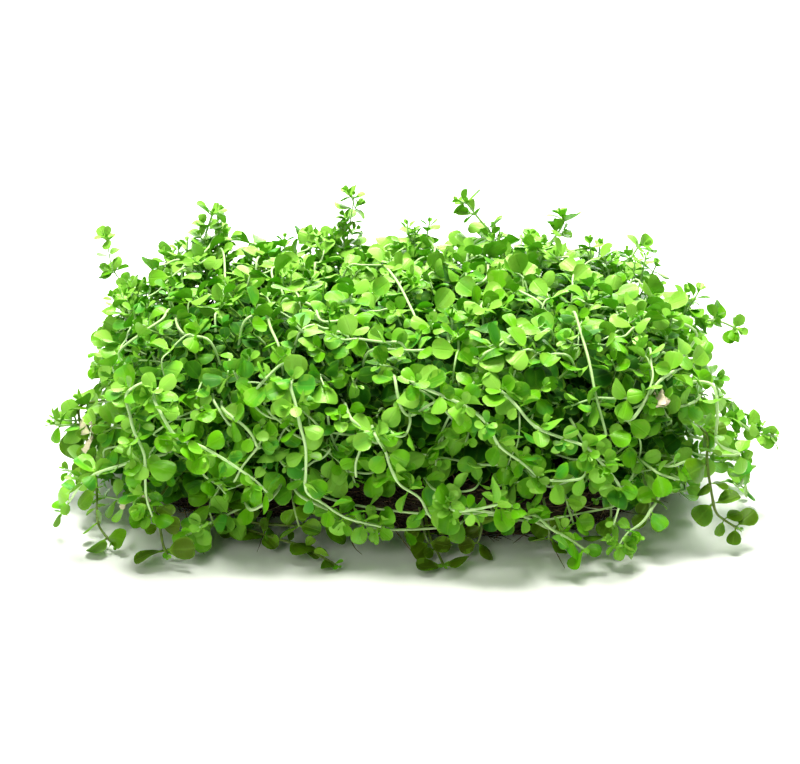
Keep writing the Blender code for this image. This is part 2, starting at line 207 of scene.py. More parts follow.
def smooth_step(tree, value, low, high):
    """0 below low, 1 above high, and a smooth rise between them."""
    return add_node(tree, "ShaderNodeMapRange", {"interpolation_type": "SMOOTHSTEP"},
                    {"Value": value, "From Min": low, "From Max": high})("Result")


def attribute(tree, name):
    """A number that was stored on the mesh under this name."""
    settings = {"attribute_type": "GEOMETRY", "attribute_name": name}
    return add_node(tree, "ShaderNodeAttribute", settings)("Fac")


def noise_at(tree, scale, detail=2.0, roughness=0.5, vector=None):
    """Smooth noise from 0 to 1 in the object's own space, its scale in bumps a metre."""
    where = vector or add_node(tree, "ShaderNodeTexCoord")("Object")
    return add_node(tree, "ShaderNodeTexNoise", {},
                    {"Vector": where, "Scale": scale, "Detail": detail, "Roughness": roughness})("Fac")


def bumped(tree, height, strength, relief):
    """The direction of a surface that a changing height makes uneven."""
    sockets = {"Height": height, "Strength": strength, "Distance": relief}
    return add_node(tree, "ShaderNodeBump", {}, sockets)()


def new_finish(name):
    """An empty material and its tree."""
    finish = bpy.data.materials.new(name)
    finish.use_nodes = True
    finish.node_tree.nodes.clear()
    return finish, finish.node_tree


def end_finish(tree, shader):
    """Links the last shader to the material's output."""
    add_node(tree, "ShaderNodeOutputMaterial", {}, {"Surface": shader})


# %% [markdown]
# ## The finishes
# A monte carlo leaf is a thin green film with a soft wax sheen. Light goes through it, so leaves with
# light behind them glow yellow-green. The material mixes a glossy surface with a translucent one. Each
# leaf carries three numbers of its own: its tone, its age and how far it has wilted. Its tone also holds
# painted light, which turns leaves on the top and the ends lime green, and painted shade, which darkens
# leaves deep inside. The paler rim is partly a painted rim highlight. One material then colours
# thousands of leaves, and no two look the same.

# %% The leaf's finish
# The darkest green: leaves of a dark tone, and painted shade for leaves deep inside the cushion
LEAF_DARK_AND_PAINTED_SHADE = (0.008, 0.100, 0.002)
LEAF_FRESH = (0.15, 0.50, 0.004)
# Lime green: the colour of leaves of a light tone, and painted light on the top and the ends
LEAF_LIME_AND_PAINTED_LIGHT = (0.30, 0.64, 0.075)
LEAF_TEAL = (0.055, 0.37, 0.042)
LEAF_OLD = (0.075, 0.105, 0.002)
LEAF_UNDERSIDE = (0.24, 0.50, 0.035)
# Pale green of the midrib and stalk, also used for the rim, where it is partly a painted rim highlight
LEAF_PALE_AND_RIM_HIGHLIGHT = (0.33, 0.66, 0.05)
LEAF_WILTED = (0.74, 0.60, 0.48)
LEAF_GLOW = (0.22, 0.62, 0.012)
LEAF_SHEEN = (0.75, 1.0, 0.4)
LEAF_THROUGH = 0.2
LEAF_PATCH_SCALE = 260
LEAF_CELL_SCALE = 2600
LEAF_TEAL_SCALE = 120
LEAF_TEAL_MOST = 0.75
LEAF_RELIEF = 0.0002


def leaf_finish():
    """Fresh green over a darker green that is partly painted shade, lime green partly painted light, a
    paler midrib and underside, and a rim with a painted highlight.
    """
    finish, tree = new_finish("leaf")
    tone, age, wilt = (attribute(tree, name) for name in ("tone", "age", "wilt"))
    under = attribute(tree, "underside")
    across = attribute(tree, "across")
    along = attribute(tree, "along")
    patches = noise_at(tree, LEAF_PATCH_SCALE)
    cells = noise_at(tree, LEAF_CELL_SCALE, 3)
    # Towards the darkest green where the tone is low: partly the leaf's own tone, partly painted shade deep
    # inside
    fresh_and_unshaded = smooth_step(tree, tone + (patches - 0.5) * 0.55, 0.0, 0.58)
    lime = smooth_step(tree, tone + (patches - 0.5) * 0.3 + along * 0.1, 0.58, 0.98)
    teal = smooth_step(tree, noise_at(tree, LEAF_TEAL_SCALE), 0.5, 0.64) * LEAF_TEAL_MOST
    colour = mix_colour(tree, fresh_and_unshaded, LEAF_DARK_AND_PAINTED_SHADE, mix_colour(tree, teal, LEAF_FRESH, LEAF_TEAL))
    # Towards lime green where the tone is high: partly the leaf's own tone, partly painted light on the top
    # and the ends
    colour = mix_colour(tree, lime, colour, LEAF_LIME_AND_PAINTED_LIGHT)
    colour = mix_colour(tree, smooth_step(tree, age + (cells - 0.5) * 0.3, 0.25, 1.05), colour, LEAF_OLD)
    midrib = 1 - smooth_step(tree, abs(across), 0.02, 0.12)
    # The paler rim is partly the blade's own paler edge and partly a painted rim highlight
    rim = smooth_step(tree, abs(across), 0.8, 1.0)
    base = 1 - smooth_step(tree, along, 0.1, 0.34)
    pale = midrib * 0.12 + rim * 0.26 + base * 0.5
    colour = mix_colour(tree, pale.math("MINIMUM", pale, 0.8), colour, LEAF_PALE_AND_RIM_HIGHLIGHT)
    colour = mix_colour(tree, under * 0.55, colour, LEAF_UNDERSIDE)
    colour = mix_colour(tree, smooth_step(tree, wilt + (cells - 0.5) * 0.5, 0.2, 0.8), colour, LEAF_WILTED)
    height = (1 - midrib) * 0.4 + cells * 0.3 + patches * 1.6
    normal = bumped(tree, height, 0.5, LEAF_RELIEF)
    roughness = 0.27 + under * 0.25 + patches * 0.14 + wilt * 0.3 + (1 - fresh_and_unshaded) * 0.35
    gloss = add_node(tree, "ShaderNodeBsdfPrincipled", {}, {
        "Base Color": colour, "Roughness": roughness,
        "Normal": normal, "Specular IOR Level": 0.4, "Specular Tint": LEAF_SHEEN,
        "Coat Weight": fresh_and_unshaded * 0.1, "Coat Roughness": 0.14})()
    glow = add_node(tree, "ShaderNodeBsdfTranslucent", {}, {"Color": LEAF_GLOW, "Normal": normal})()
    share = (1 - wilt * 0.7) * LEAF_THROUGH
    both = add_node(tree, "ShaderNodeMixShader", {}, {0: share, 1: gloss, 2: glow})()
    end_finish(tree, both)
    return finish


# %% The stem's finish
STEM_PALE = (0.60, 0.84, 0.38)
STEM_GREEN = (0.20, 0.44, 0.03)
# Brownish dark of old stems, also painted shade on the stems deep inside the cushion
STEM_OLD_AND_SHADED = (0.085, 0.085, 0.015)
STEM_GLOW = (0.40, 0.70, 0.06)
STEM_THROUGH = 0.15
STEM_STREAK_SCALE = 900
STEM_RELIEF = 0.0001


def stem_finish():
    """A pale juicy stem, greener where it is young, and brownish where it is old, a brown that is partly
    painted shade on stems deep inside.
    """
    finish, tree = new_finish("stem")
    tone, age = (attribute(tree, name) for name in ("tone", "age"))
    streaks = noise_at(tree, STEM_STREAK_SCALE, 3)
    pale = smooth_step(tree, tone + (streaks - 0.5) * 0.4, 0.1, 0.9)
    colour = mix_colour(tree, pale, STEM_GREEN, STEM_PALE)
    # Darker towards old: partly the stem's own age, partly painted shade on stems deep in the cushion
    colour = mix_colour(tree, smooth_step(tree, age + (streaks - 0.5) * 0.4, 0.3, 1.0), colour, STEM_OLD_AND_SHADED)
    normal = bumped(tree, streaks, 0.3, STEM_RELIEF)
    gloss = add_node(tree, "ShaderNodeBsdfPrincipled", {}, {
        "Base Color": colour, "Roughness": 0.36 + streaks * 0.15, "Normal": normal})()
    glow = add_node(tree, "ShaderNodeBsdfTranslucent", {}, {"Color": STEM_GLOW})()
    both = add_node(tree, "ShaderNodeMixShader", {}, {0: STEM_THROUGH, 1: gloss, 2: glow})()
    end_finish(tree, both)
    return finish


# %% The pad's and the roots' finishes
PAD_DARK = (0.010, 0.006, 0.003)
PAD_BROWN = (0.060, 0.033, 0.014)
PAD_FLAT = 5.0
PAD_STREAK_SCALE, PAD_SPECK_SCALE = 380, 1800
PAD_RELIEF = 0.0008
ROOT_DARK = (0.035, 0.018, 0.008)
ROOT_TAN = (0.23, 0.15, 0.07)
ROOT_WHITE = (0.72, 0.74, 0.55)
ROOT_STREAK_SCALE = 700
FLOOR_COOL, FLOOR_WHITE = (0.93, 0.94, 0.94), (0.97, 0.97, 0.97)
FLOOR_CLOUD_SCALE = 9


def pad_finish():
    """Near-black felt of old roots, streaked along the pad."""
    finish, tree = new_finish("root_pad")
    where = add_node(tree, "ShaderNodeTexCoord")("Object")
    flat = add_node(tree, "ShaderNodeMapping", {}, {"Vector": where, "Scale": (1, 1, PAD_FLAT)})()
    streaks = noise_at(tree, PAD_STREAK_SCALE, 6, 0.65, flat)
    specks = noise_at(tree, PAD_SPECK_SCALE, 3, 0.6, where)
    height = streaks * 0.7 + specks * 0.3
    colour = mix_colour(tree, smooth_step(tree, height, 0.38, 0.7), PAD_DARK, PAD_BROWN)
    normal = bumped(tree, height, 0.9, PAD_RELIEF)
    gloss = add_node(tree, "ShaderNodeBsdfPrincipled", {}, {
        "Base Color": colour, "Roughness": 0.75 + specks * 0.2, "Normal": normal})()
    end_finish(tree, gloss)
    return finish


def root_finish():
    """Root hairs: dark brown in the pad, tan where they are loose, nearly white where they are new."""
    finish, tree = new_finish("root")
    tone = attribute(tree, "tone")
    streaks = noise_at(tree, ROOT_STREAK_SCALE, 3)
    tan = smooth_step(tree, tone + (streaks - 0.5) * 0.3, 0.0, 0.6)
    colour = mix_colour(tree, tan, ROOT_DARK, ROOT_TAN)
    colour = mix_colour(tree, smooth_step(tree, tone, 0.65, 1.0), colour, ROOT_WHITE)
    gloss = add_node(tree, "ShaderNodeBsdfPrincipled", {}, {
        "Base Color": colour, "Roughness": 0.6 + streaks * 0.25})()
    end_finish(tree, gloss)
    return finish


def floor_finish():
    """A plain pale floor, with a faint unevenness so that it isn't a flat colour."""
    finish, tree = new_finish("floor")
    colour = mix_colour(tree, noise_at(tree, FLOOR_CLOUD_SCALE), FLOOR_COOL, FLOOR_WHITE)
    gloss = add_node(tree, "ShaderNodeBsdfPrincipled", {}, {"Base Color": colour, "Roughness": 0.7})()
    end_finish(tree, gloss)
    return finish


FINISHES = {"leaf": leaf_finish(), "stem": stem_finish(), "pad": pad_finish(), "root": root_finish()}
floor_mesh.materials.append(floor_finish())
print("finishes:", sorted(FINISHES))

# %% [markdown]
# ## Leaf shapes
# A grown leaf is about 5 mm long, nearly round, on a short stalk that widens into the blade. Its face
# is a little cupped along the midrib. Each shape here is a thin closed lens, one unit long, made of a
# few dozen faces. A fine one has five points across its upper side and three across its lower one, which
# share the rim. A handful of shapes that differ in width, cupping, arch and twist is enough, because
# every copy also gets its own size and turn.

# %% Leaf template meshes
# The blade's outline is walked by an angle, from 0 at the stalk to 180 at the tip
FINE_ANGLES = [24, 50, 78, 105, 130, 152, 169]
PLAIN_ANGLES = [34, 76, 118, 158]
STALK_SHARE = 0.15
STALK_HALF_WIDTH = 0.045
LEAF_THICKNESS = 0.05
CUP_ROUND, CUP_CREASE = 2.4, 0.06
ARCH_DROP, ARCH_SHORTENS = 0.6, 0.25
TIP_POINT = 0.015

# Each shape: half-width, cup across, arch along, twist in degrees, crumple, fine or plain
LEAF_SHAPES = {
    "leaf_a_domed": (0.43, -0.20, 0.14, 0, 0.03, True),
    "leaf_b_spoon": (0.43, 0.34, -0.22, 4, 0.02, True),
    "leaf_c_arched": (0.40, -0.26, 0.50, -6, 0.03, True),
    "leaf_d_folded": (0.40, 0.60, 0.12, 8, 0.02, True),
    "leaf_e_twisted": (0.38, -0.22, 0.24, 34, 0.04, True),
    "leaf_f_broad": (0.46, -0.36, 0.26, -10, 0.05, True),
    "leaf_g_narrow": (0.34, 0.22, 0.30, -20, 0.03, True),
    "leaf_h_young": (0.37, 0.40, -0.06, 0, 0.0, False),
    "leaf_i_bud": (0.32, 0.50, -0.25, 12, 0.0, False),
    "leaf_j_withered": (0.34, -0.75, 0.55, 75, 0.16, True),
    "leaf_k_inner": (0.42, 0.30, 0.15, 5, 0.0, False),
}
GROWN_SHAPES = (0, 1, 2, 3, 4, 5, 6)
YOUNG_SHAPE, BUD_SHAPE, WITHERED_SHAPE, INNER_SHAPE = 7, 8, 9, 10


def outline(angle, widest):
    """A point of the blade's rim: how far along the leaf it is, and how far from the midrib."""
    turn = math.radians(angle)
    along = ((1 - math.cos(turn)) / 2) ** 0.84
    width = widest * math.sin(turn) ** (1.0 if angle < 90 else 0.74)
    return STALK_SHARE + (1 - STALK_SHARE) * along, max(width, STALK_HALF_WIDTH)


def leaf_point(share, y, across, lift, shape):
    """A point of the blade, bent by the shape's cup, arch, twist and crumple."""
    cup, arch, twist, crumple = shape[1:5]
    opening = max(0.0, share - STALK_SHARE)
    z = cup * y * y * CUP_ROUND + abs(y) * cup * CUP_CREASE - arch * opening * opening * ARCH_DROP + lift
    z += crumple * math.sin(7 * share + 5 * across) * across * across
    turn = math.radians(twist) * opening
    cos, sin = math.cos(turn), math.sin(turn)
    point = Vector((share, y * cos - z * sin, y * sin + z * cos))
    bend = arch * opening
    point.x -= ARCH_SHORTENS * bend * bend
    return point


def make_leaf_shape(name, shape):
    """One closed leaf, its upper side finer than its lower one, with its own coordinates stored."""
    widest, fine = shape[0], shape[-1]
    stalk = [(0.0, STALK_HALF_WIDTH), (STALK_SHARE * 0.9, STALK_HALF_WIDTH)]
    stations = stalk + [outline(angle, widest) for angle in (FINE_ANGLES if fine else PLAIN_ANGLES)]
    upper = (-1, -0.5, 0, 0.5, 1) if fine else (-1, 0, 1)
    points, places, faces, under = [], [], [], []

    def add(share, half, across, lift):
        points.append(leaf_point(share, half * across, across, lift, shape))
        places.append((share, across))
        return len(points) - 1

    tops, bottoms = [], []
    for k, (share, half) in enumerate(stations):
        thick = LEAF_THICKNESS * (1.6 if k == 1 else 1)
        if k in (0, len(stations) - 1):
            row = [add(share, half, x, 0) for x in (-1, 0, 1)]
            if k:
                points[row[1]].x += TIP_POINT
            tops.append(row)
            bottoms.append(row)
        else:
            row = [add(share, half, x, thick * (1 - x * x) * 0.5) for x in upper]
            tops.append(row)
            bottoms.append([row[0], add(share, half, 0, -thick * 0.5), row[-1]])
    for rows, side in ((tops, 0.0), (bottoms, 1.0)):
        for first, second in zip(rows, rows[1:]):
            for half in (0, 1):
                a = first[: len(first) // 2 + 1] if half == 0 else first[len(first) // 2:]
                b = second[: len(second) // 2 + 1] if half == 0 else second[len(second) // 2:]
                if len(a) == len(b):
                    strips = [(a[i], b[i], b[i + 1], a[i + 1]) for i in range(len(a) - 1)]
                else:
                    strips = [(*b, *reversed(a))]
                for strip in strips:
                    faces.append(tuple(reversed(strip)) if side else strip)
                    under.append(side)
    mesh = bpy.data.meshes.new(name)
    mesh.from_pydata(points, [], faces)
    mesh.attributes.new("underside", "FLOAT", "FACE").data.foreach_set("value", under)
    for key, k in (("along", 0), ("across", 1)):
        mesh.attributes.new(key, "FLOAT", "POINT").data.foreach_set("value", [p[k] for p in places])
    mesh.shade_smooth()
    rim = {(row[i], row[i + 1]) for row in (tops[-1],) for i in (0, 1)}
    rim |= {(a[k], b[k]) for a, b in zip(tops[1:], tops[2:]) for k in (0, -1)}
    rim = {frozenset(pair) for pair in rim}
    sharp = [frozenset(e.vertices) in rim for e in mesh.edges]
    mesh.attributes.new("sharp_edge", "BOOLEAN", "EDGE").data.foreach_set("value", sharp)
    return bpy.data.objects.new(name, mesh)


def triangles(thing):
    """How many triangles a mesh object has."""
    return sum(len(p.vertices) - 2 for p in thing.data.polygons)


leaf_shapes = bpy.data.collections.new("leaf shapes")
for shape_name, shape in LEAF_SHAPES.items():
    leaf_shapes.objects.link(make_leaf_shape(shape_name, shape))

# %% [markdown]
# ## The tree that dresses a skeleton
# A skeleton is a mesh without faces: its edges are the stems' paths, and its loose points are the places
# of the leaves. The numbers stored on the points say how thick a stem is there, which shape a leaf has,
# how long it is, which way it points and which way its upper side faces. This tree sweeps a ring along
# the paths and puts a leaf on each place. Storing directions, and letting Axes to Rotation work out the
# turn, keeps the growing code free of angles.

# %% The Geometry Nodes tree for stems and leaves
def new_tree(name, inputs):
    """An empty Geometry Nodes tree with these named inputs, each a socket type and a default value."""
    tree = bpy.data.node_groups.new(name, "GeometryNodeTree")
    tree.interface.new_socket("Geometry", in_out="INPUT", socket_type="NodeSocketGeometry")
    for key, (kind, value) in inputs.items():
        socket = tree.interface.new_socket(key, in_out="INPUT", socket_type=kind)
        if value is not None:
            socket.default_value = value
    tree.interface.new_socket("Geometry", in_out="OUTPUT", socket_type="NodeSocketGeometry")
    return tree, add_node(tree, "NodeGroupInput")


def named(tree, name, kind="FLOAT"):
    """A number, vector or switch stored on the points under this name."""
    found = add_node(tree, "GeometryNodeInputNamedAttribute", {"data_type": kind}, {"Name": name})
    return found("Attribute")


def painted(tree, geometry, finish):
    """The geometry with its material set."""
    return add_node(tree, "GeometryNodeSetMaterial", {}, {"Geometry": geometry, "Material": finish})()


def made_real(tree, instances):
    """The instances as plain geometry, which the export keeps."""
    return add_node(tree, "GeometryNodeRealizeInstances", {}, {"Geometry": instances})()


def dressing_tree():
    """Sweeps the stems, instances the leaves, and makes both real with their materials."""
    tree, given = new_tree("dress a skeleton", {
        "Leaf Shapes": ("NodeSocketCollection", None),
        "Stem Sides": ("NodeSocketInt", 6),
        "Stem Thickness": ("NodeSocketFloat", 1.0),
        "Leaf Size": ("NodeSocketFloat", 1.0),
        "Leaf Finish": ("NodeSocketMaterial", None),
        "Stem Finish": ("NodeSocketMaterial", None),
    })
    parts = add_node(tree, "GeometryNodeSeparateGeometry", {"domain": "POINT"},
                     {"Geometry": given("Geometry"), "Selection": named(tree, "is_leaf", "BOOLEAN")})
    paths = add_node(tree, "GeometryNodeMeshToCurve", {}, {"Mesh": parts("Inverted")})()
    ring = add_node(tree, "GeometryNodeCurvePrimitiveCircle", {},
                    {"Resolution": given("Stem Sides"), "Radius": 1.0})()
    stems = add_node(tree, "GeometryNodeCurveToMesh", {}, {
        "Curve": paths, "Profile Curve": ring, "Fill Caps": True,
        "Scale": named(tree, "radius") * given("Stem Thickness")})()
    stems = add_node(tree, "GeometryNodeSetShadeSmooth", {}, {"Geometry": stems})()
    shapes = add_node(tree, "GeometryNodeCollectionInfo", {}, {
        "Collection": given("Leaf Shapes"), "Separate Children": True, "Reset Children": True})()
    turn = add_node(tree, "FunctionNodeAxesToRotation", {"primary_axis": "X", "secondary_axis": "Z"}, {
        "Primary Axis": named(tree, "out", "FLOAT_VECTOR"),
        "Secondary Axis": named(tree, "facing", "FLOAT_VECTOR")})()
    leaves = add_node(tree, "GeometryNodeInstanceOnPoints", {}, {
        "Points": parts("Selection"), "Instance": shapes, "Pick Instance": True,
        "Instance Index": named(tree, "shape", "INT"), "Rotation": turn,
        "Scale": named(tree, "length") * given("Leaf Size")})()
    stems = painted(tree, stems, given("Stem Finish"))
    leaves = painted(tree, made_real(tree, leaves), given("Leaf Finish"))
    both = add_node(tree, "GeometryNodeJoinGeometry", {}, {"Geometry": [stems, leaves]})()
    add_node(tree, "NodeGroupOutput", {}, {"Geometry": both})
    return tree


def with_tree(thing, tree, values):
    """Sets the named inputs of a tree on an object, and returns the mesh that comes out of it."""
    modifier = thing.modifiers.new(tree.name, "NODES")
    modifier.node_group = tree
    for item in tree.interface.items_tree:
        if item.in_out == "INPUT" and item.name in values:
            modifier[item.identifier] = values[item.name]
    bpy.context.view_layer.update()
    graph = bpy.context.evaluated_depsgraph_get()
    made = bpy.data.meshes.new_from_object(
        thing.evaluated_get(graph), preserve_all_data_layers=True, depsgraph=graph)
    thing.modifiers.remove(modifier)
    return made


DRESSING = dressing_tree()
print("nodes in the dressing tree:", len(DRESSING.nodes))

# %% Skeletons and pieces
class Skeleton:
    """The stems and leaf places of one piece, in millimetres."""

    def __init__(self):
        self.stems = []
        self.leaves = []

    def add_stem(self, path, radii, tone, age):
        self.stems.append((path, radii, tone, age))

    def mesh(self, name):
        points = [p for path, *rest in self.stems for p in path] + [leaf["place"] for leaf in self.leaves]
        edges = []
        radii, tones, ages = [], [], []
        for path, radius, tone, age in self.stems:
            first = len(radii)
            edges += [(first + k, first + k + 1) for k in range(len(path) - 1)]
            radii += radius
            tones += [tone] * len(path)
            ages += age
        none = [0.0] * len(radii)
        nowhere = [0.0] * (3 * len(radii))
        mesh = bpy.data.meshes.new(name)
        mesh.from_pydata([p * MM for p in points], edges, [])
        stored = {
            "is_leaf": ("BOOLEAN", [False] * len(radii) + [True] * len(self.leaves)),
            "radius": ("FLOAT", [r * MM for r in radii] + [0.0] * len(self.leaves)),
            "shape": ("INT", [0] * len(radii) + [leaf["shape"] for leaf in self.leaves]),
            "number": ("INT", [-1] * len(radii) + list(range(len(self.leaves)))),
            "length": ("FLOAT", none + [leaf["length"] * MM for leaf in self.leaves]),
            "tone": ("FLOAT", tones + [leaf["tone"] for leaf in self.leaves]),
            "age": ("FLOAT", ages + [leaf["age"] for leaf in self.leaves]),
            "wilt": ("FLOAT", none + [leaf["wilt"] for leaf in self.leaves]),
            "out": ("FLOAT_VECTOR", nowhere + [x for leaf in self.leaves for x in leaf["out"]]),
            "facing": ("FLOAT_VECTOR", nowhere + [x for leaf in self.leaves for x in leaf["facing"]]),
        }
        for key, (kind, numbers) in stored.items():
            field = "vector" if kind == "FLOAT_VECTOR" else "value"
            mesh.attributes.new(key, kind, "POINT").data.foreach_set(field, numbers)
        return mesh


def place_piece(name, mesh, replaced=()):
    """Puts a finished mesh in the scene as a piece of the part."""
    piece = bpy.data.objects.new(name, mesh)
    bpy.context.scene.collection.objects.link(piece)
    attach(piece, "root")
    if replaced:
        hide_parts(*replaced)
    return piece


def dress(name, skeleton, replaced=(), stem="stem", sides=6):
    """A piece grown from a skeleton."""
    bones = bpy.data.objects.new(name + "_bones", skeleton.mesh(name + "_bones"))
    bpy.context.scene.collection.objects.link(bones)
    mesh = with_tree(bones, DRESSING, {
        "Leaf Shapes": leaf_shapes, "Stem Sides": sides, "Leaf Finish": FINISHES["leaf"],
        "Stem Finish": FINISHES[stem]})
    bpy.data.objects.remove(bones)
    mesh.name = name
    return place_piece(name, mesh, replaced)


# %% [markdown]
# ## The form of the cushion
# The cushion is a rounded slab, a little lumpy, that hangs lower at its sides and back than at its front,
# where the dark pad shows. One function gives any point of that form from a bearing round the middle and
# a share of the way from the middle of the top down to the foot. Shoots end on this form, and stolons
# creep over it.

# %% Points of the cushion's form
CUSHION_HALF_LENGTH = 69.5
CUSHION_HALF_WIDTH = 44.2
CUSHION_CENTRE = Vector((1.6, 0, 0))
CUSHION_TOP = cushion_high.z - 1.4
CUSHION_SQUARENESS = 3.2
CUSHION_LUMP = 3.4
CUSHION_LUMP_SIZE = 15.0
# Where the form is fuller or leaner: bearing and half-width in degrees, extra reach at the top and the foot
CUSHION_TRIM = [(5, 36, -7.0, -9.0), (-28, 14, 0.0, 2.0), (158, 20, 2.0, -2.0), (-155, 22, -3.0, 3.0),
                (62, 40, 1.5, 0.0)]
# The form's side, from the middle of the top to the foot: share of the reach, share of the height
CUSHION_SIDE = [(0, 1), (0.3, 1), (0.6, 0.99), (0.82, 0.94), (0.94, 0.8), (0.99, 0.58), (1, 0.32),
                (0.95, 0)]
FOOT_HEIGHT = 4.5
FRONT_FOOT_HEIGHT = 16.5
FRONT_BEARING = -88
FRONT_HALF_WIDTH = 50
PAD_TOP = pad_high.z


def wander(point, size, seed):
    """A smooth random number from -1 to 1 that changes over about this size."""
    return noise.noise(Vector(point) / size + Vector((seed, 2 * seed, 3 * seed)))


def through(points, share):
    """The point at this share of the way along a smooth curve through the points."""
    at = share * (len(points) - 1)
    i = min(int(at), len(points) - 2)
    t = at - i
    a, b, c, d = (Vector(points[min(max(k, 0), len(points) - 1)]) for k in range(i - 1, i + 3))
    straight, square, cube = c - a, 2 * a - 5 * b + 4 * c - d, 3 * b - a - 3 * c + d
    return ((2 * b) + straight * t + square * t * t + cube * t**3) / 2


def plan_radius(bearing, half_length, half_width, squareness):
    """How far the edge of a rounded rectangle is from its middle, in this direction."""
    across = abs(math.cos(bearing) / half_length) ** squareness
    along = abs(math.sin(bearing) / half_width) ** squareness
    return (across + along) ** (-1 / squareness)


def turn_between(a, b):
    """The smallest angle between two bearings in degrees."""
    return abs((a - b + 180) % 360 - 180)


def foot_height(bearing):
    """How high the cushion's foot hangs, in this direction."""
    away = turn_between(math.degrees(bearing), FRONT_BEARING) / FRONT_HALF_WIDTH
    return FOOT_HEIGHT + (FRONT_FOOT_HEIGHT - FOOT_HEIGHT) * math.exp(-(away**4))


def cushion_point(bearing, share):
    """A point of the cushion, from the middle of its top at share 0 to its foot at share 1."""
    reach, height = through([(*p, 0) for p in CUSHION_SIDE], share)[:2]
    radius = plan_radius(bearing, CUSHION_HALF_LENGTH, CUSHION_HALF_WIDTH, CUSHION_SQUARENESS)
    for middle, half_width, at_top, at_foot in CUSHION_TRIM:
        near = math.exp(-((turn_between(math.degrees(bearing), middle) / half_width) ** 2))
        radius += near * (at_top * height + at_foot * (1 - height))
    radius *= reach
    foot = foot_height(bearing)
    flat = Vector((math.cos(bearing), math.sin(bearing), 0))
    point = CUSHION_CENTRE + flat * radius + UP * (foot + (CUSHION_TOP - foot) * height)
    out = (flat * reach**3 + UP * height).normalized()
    lump = CUSHION_LUMP * wander(point, CUSHION_LUMP_SIZE, 1) * min(1, 4 * (1 - share))
    return point + out * lump


FORM_BEARINGS = 96
FORM_SHARES = 30


def form_faces():
    """The cushion's form as corners of small quads: an array of faces by corner by coordinate."""
    shares = [j / FORM_SHARES for j in range(FORM_SHARES + 1)]
    grid = [[cushion_point(2 * math.pi * i / FORM_BEARINGS, share) for share in shares]
            for i in range(FORM_BEARINGS)]
    faces = []
    for i in range(FORM_BEARINGS):
        a, b = grid[i], grid[(i + 1) % FORM_BEARINGS]
        for j in range(FORM_SHARES):
            faces.append((a[j], a[j + 1], b[j + 1], b[j]))
    return np.array([[list(p) for p in face] for face in faces])


def scatter(count, apart, seed):
    """Places spread evenly over the form, each a point and the outward direction there."""
    chance = np.random.default_rng(seed)
    faces = form_faces()
    diagonals = np.cross(faces[:, 2] - faces[:, 0], faces[:, 3] - faces[:, 1])
    areas = np.linalg.norm(diagonals, axis=1)
    chosen = []
    points = np.empty((0, 3))
    for k in chance.choice(len(faces), size=count * 30, p=areas / areas.sum()):
        u, v = chance.random(2)
        a, b, c, d = faces[k]
        point = (a * (1 - u) + b * u) * (1 - v) + (d * (1 - u) + c * u) * v
        if len(points) and np.min(np.sum((points - point) ** 2, axis=1)) < apart * apart:
            continue
        points = np.vstack((points, point))
        chosen.append((Vector(point), Vector(diagonals[k]).normalized()))
        if len(chosen) == count:
            break
    return chosen


form_corners = form_faces().reshape(-1, 3)
form_surface = BVHTree.FromPolygons([Vector(c) for c in form_corners],
                                    [tuple(range(k, k + 4)) for k in range(0, len(form_corners), 4)])


def depth_inside(point):
    """How far a point is below the cushion's form."""
    nearest, normal, number, distance = form_surface.find_nearest(point)
    return distance if (nearest - point).dot(normal) > 0 else -distance


print("form, mm:", round(2 * CUSHION_HALF_LENGTH), round(2 * CUSHION_HALF_WIDTH), round(CUSHION_TOP))
print("depth of the middle, mm:", round(depth_inside(Vector((0, 0, 20))), 1))

# %% [markdown]
# ## How a shoot grows
# Every shoot follows the same rule, so one function makes them all. It walks back from the tip. At the
# tip sit a few small pairs, folded close, which look like a rosette from above. Further back the pairs
# are larger, wider apart and more open, and each is turned a quarter against the last. A leaf whose way
# leads into the cushion is bent out to its side instead, and every upper face turns towards the light.
# Two grown leaves can't pass through each other, so each is tested as a disc against its neighbours, and
# tried again at another turn, or smaller, a few times; one that finds no room is left out. Painted
# shade darkens leaves deep inside, and painted light turns only the top and the ends the lime green of
# leaves in full light, so those on the side stay darker.

# %% Room for each leaf
LEAF_DISC_SHARE = 0.58
LEAF_DISC_RADIUS = 0.36
ROOM_CELL = 6.0
NEARLY_PARALLEL = 0.12
LAYER_GAP = 0.35
leaf_discs = {}


def disc_cell(point):
    """The cell of a coarse grid in which a point lies."""
    return tuple(int(math.floor(x / ROOM_CELL)) for x in point)


def discs_meet(first, second):
    """Whether two flat discs, each a middle, a facing and a radius, pass through each other."""
    (a, facing_a, radius_a), (b, facing_b, radius_b) = first, second
    apart = b - a
    if apart.length_squared > (radius_a + radius_b) ** 2:
        return False
    line = facing_a.cross(facing_b)
    slant = line.length
    if slant < NEARLY_PARALLEL:
        return abs(apart.dot(facing_a)) < LAYER_GAP
    reach_a = abs(apart.dot(facing_b)) / slant
    reach_b = abs(apart.dot(facing_a)) / slant
    if reach_a > radius_a or reach_b > radius_b:
        return False
    half_a = math.sqrt(radius_a**2 - reach_a**2)
    half_b = math.sqrt(radius_b**2 - reach_b**2)
    return abs(apart.dot(line) / slant) < half_a + half_b


def room_for(disc):
    """Whether no leaf so far passes through this disc."""
    x, y, z = disc_cell(disc[0])
    near = ((x + i, y + j, z + k) for i in (-1, 0, 1) for j in (-1, 0, 1) for k in (-1, 0, 1))
    return not any(discs_meet(disc, other) for cell in near for other in leaf_discs.get(cell, ()))


def leaf_disc(place, out, facing, length):
    """The disc that stands for a leaf."""
    return (place + out * length * LEAF_DISC_SHARE, facing, length * LEAF_DISC_RADIUS)


def straighten(facing, out):
    """The facing without its part along the leaf."""
    return (facing - out * facing.dot(out)).normalized()


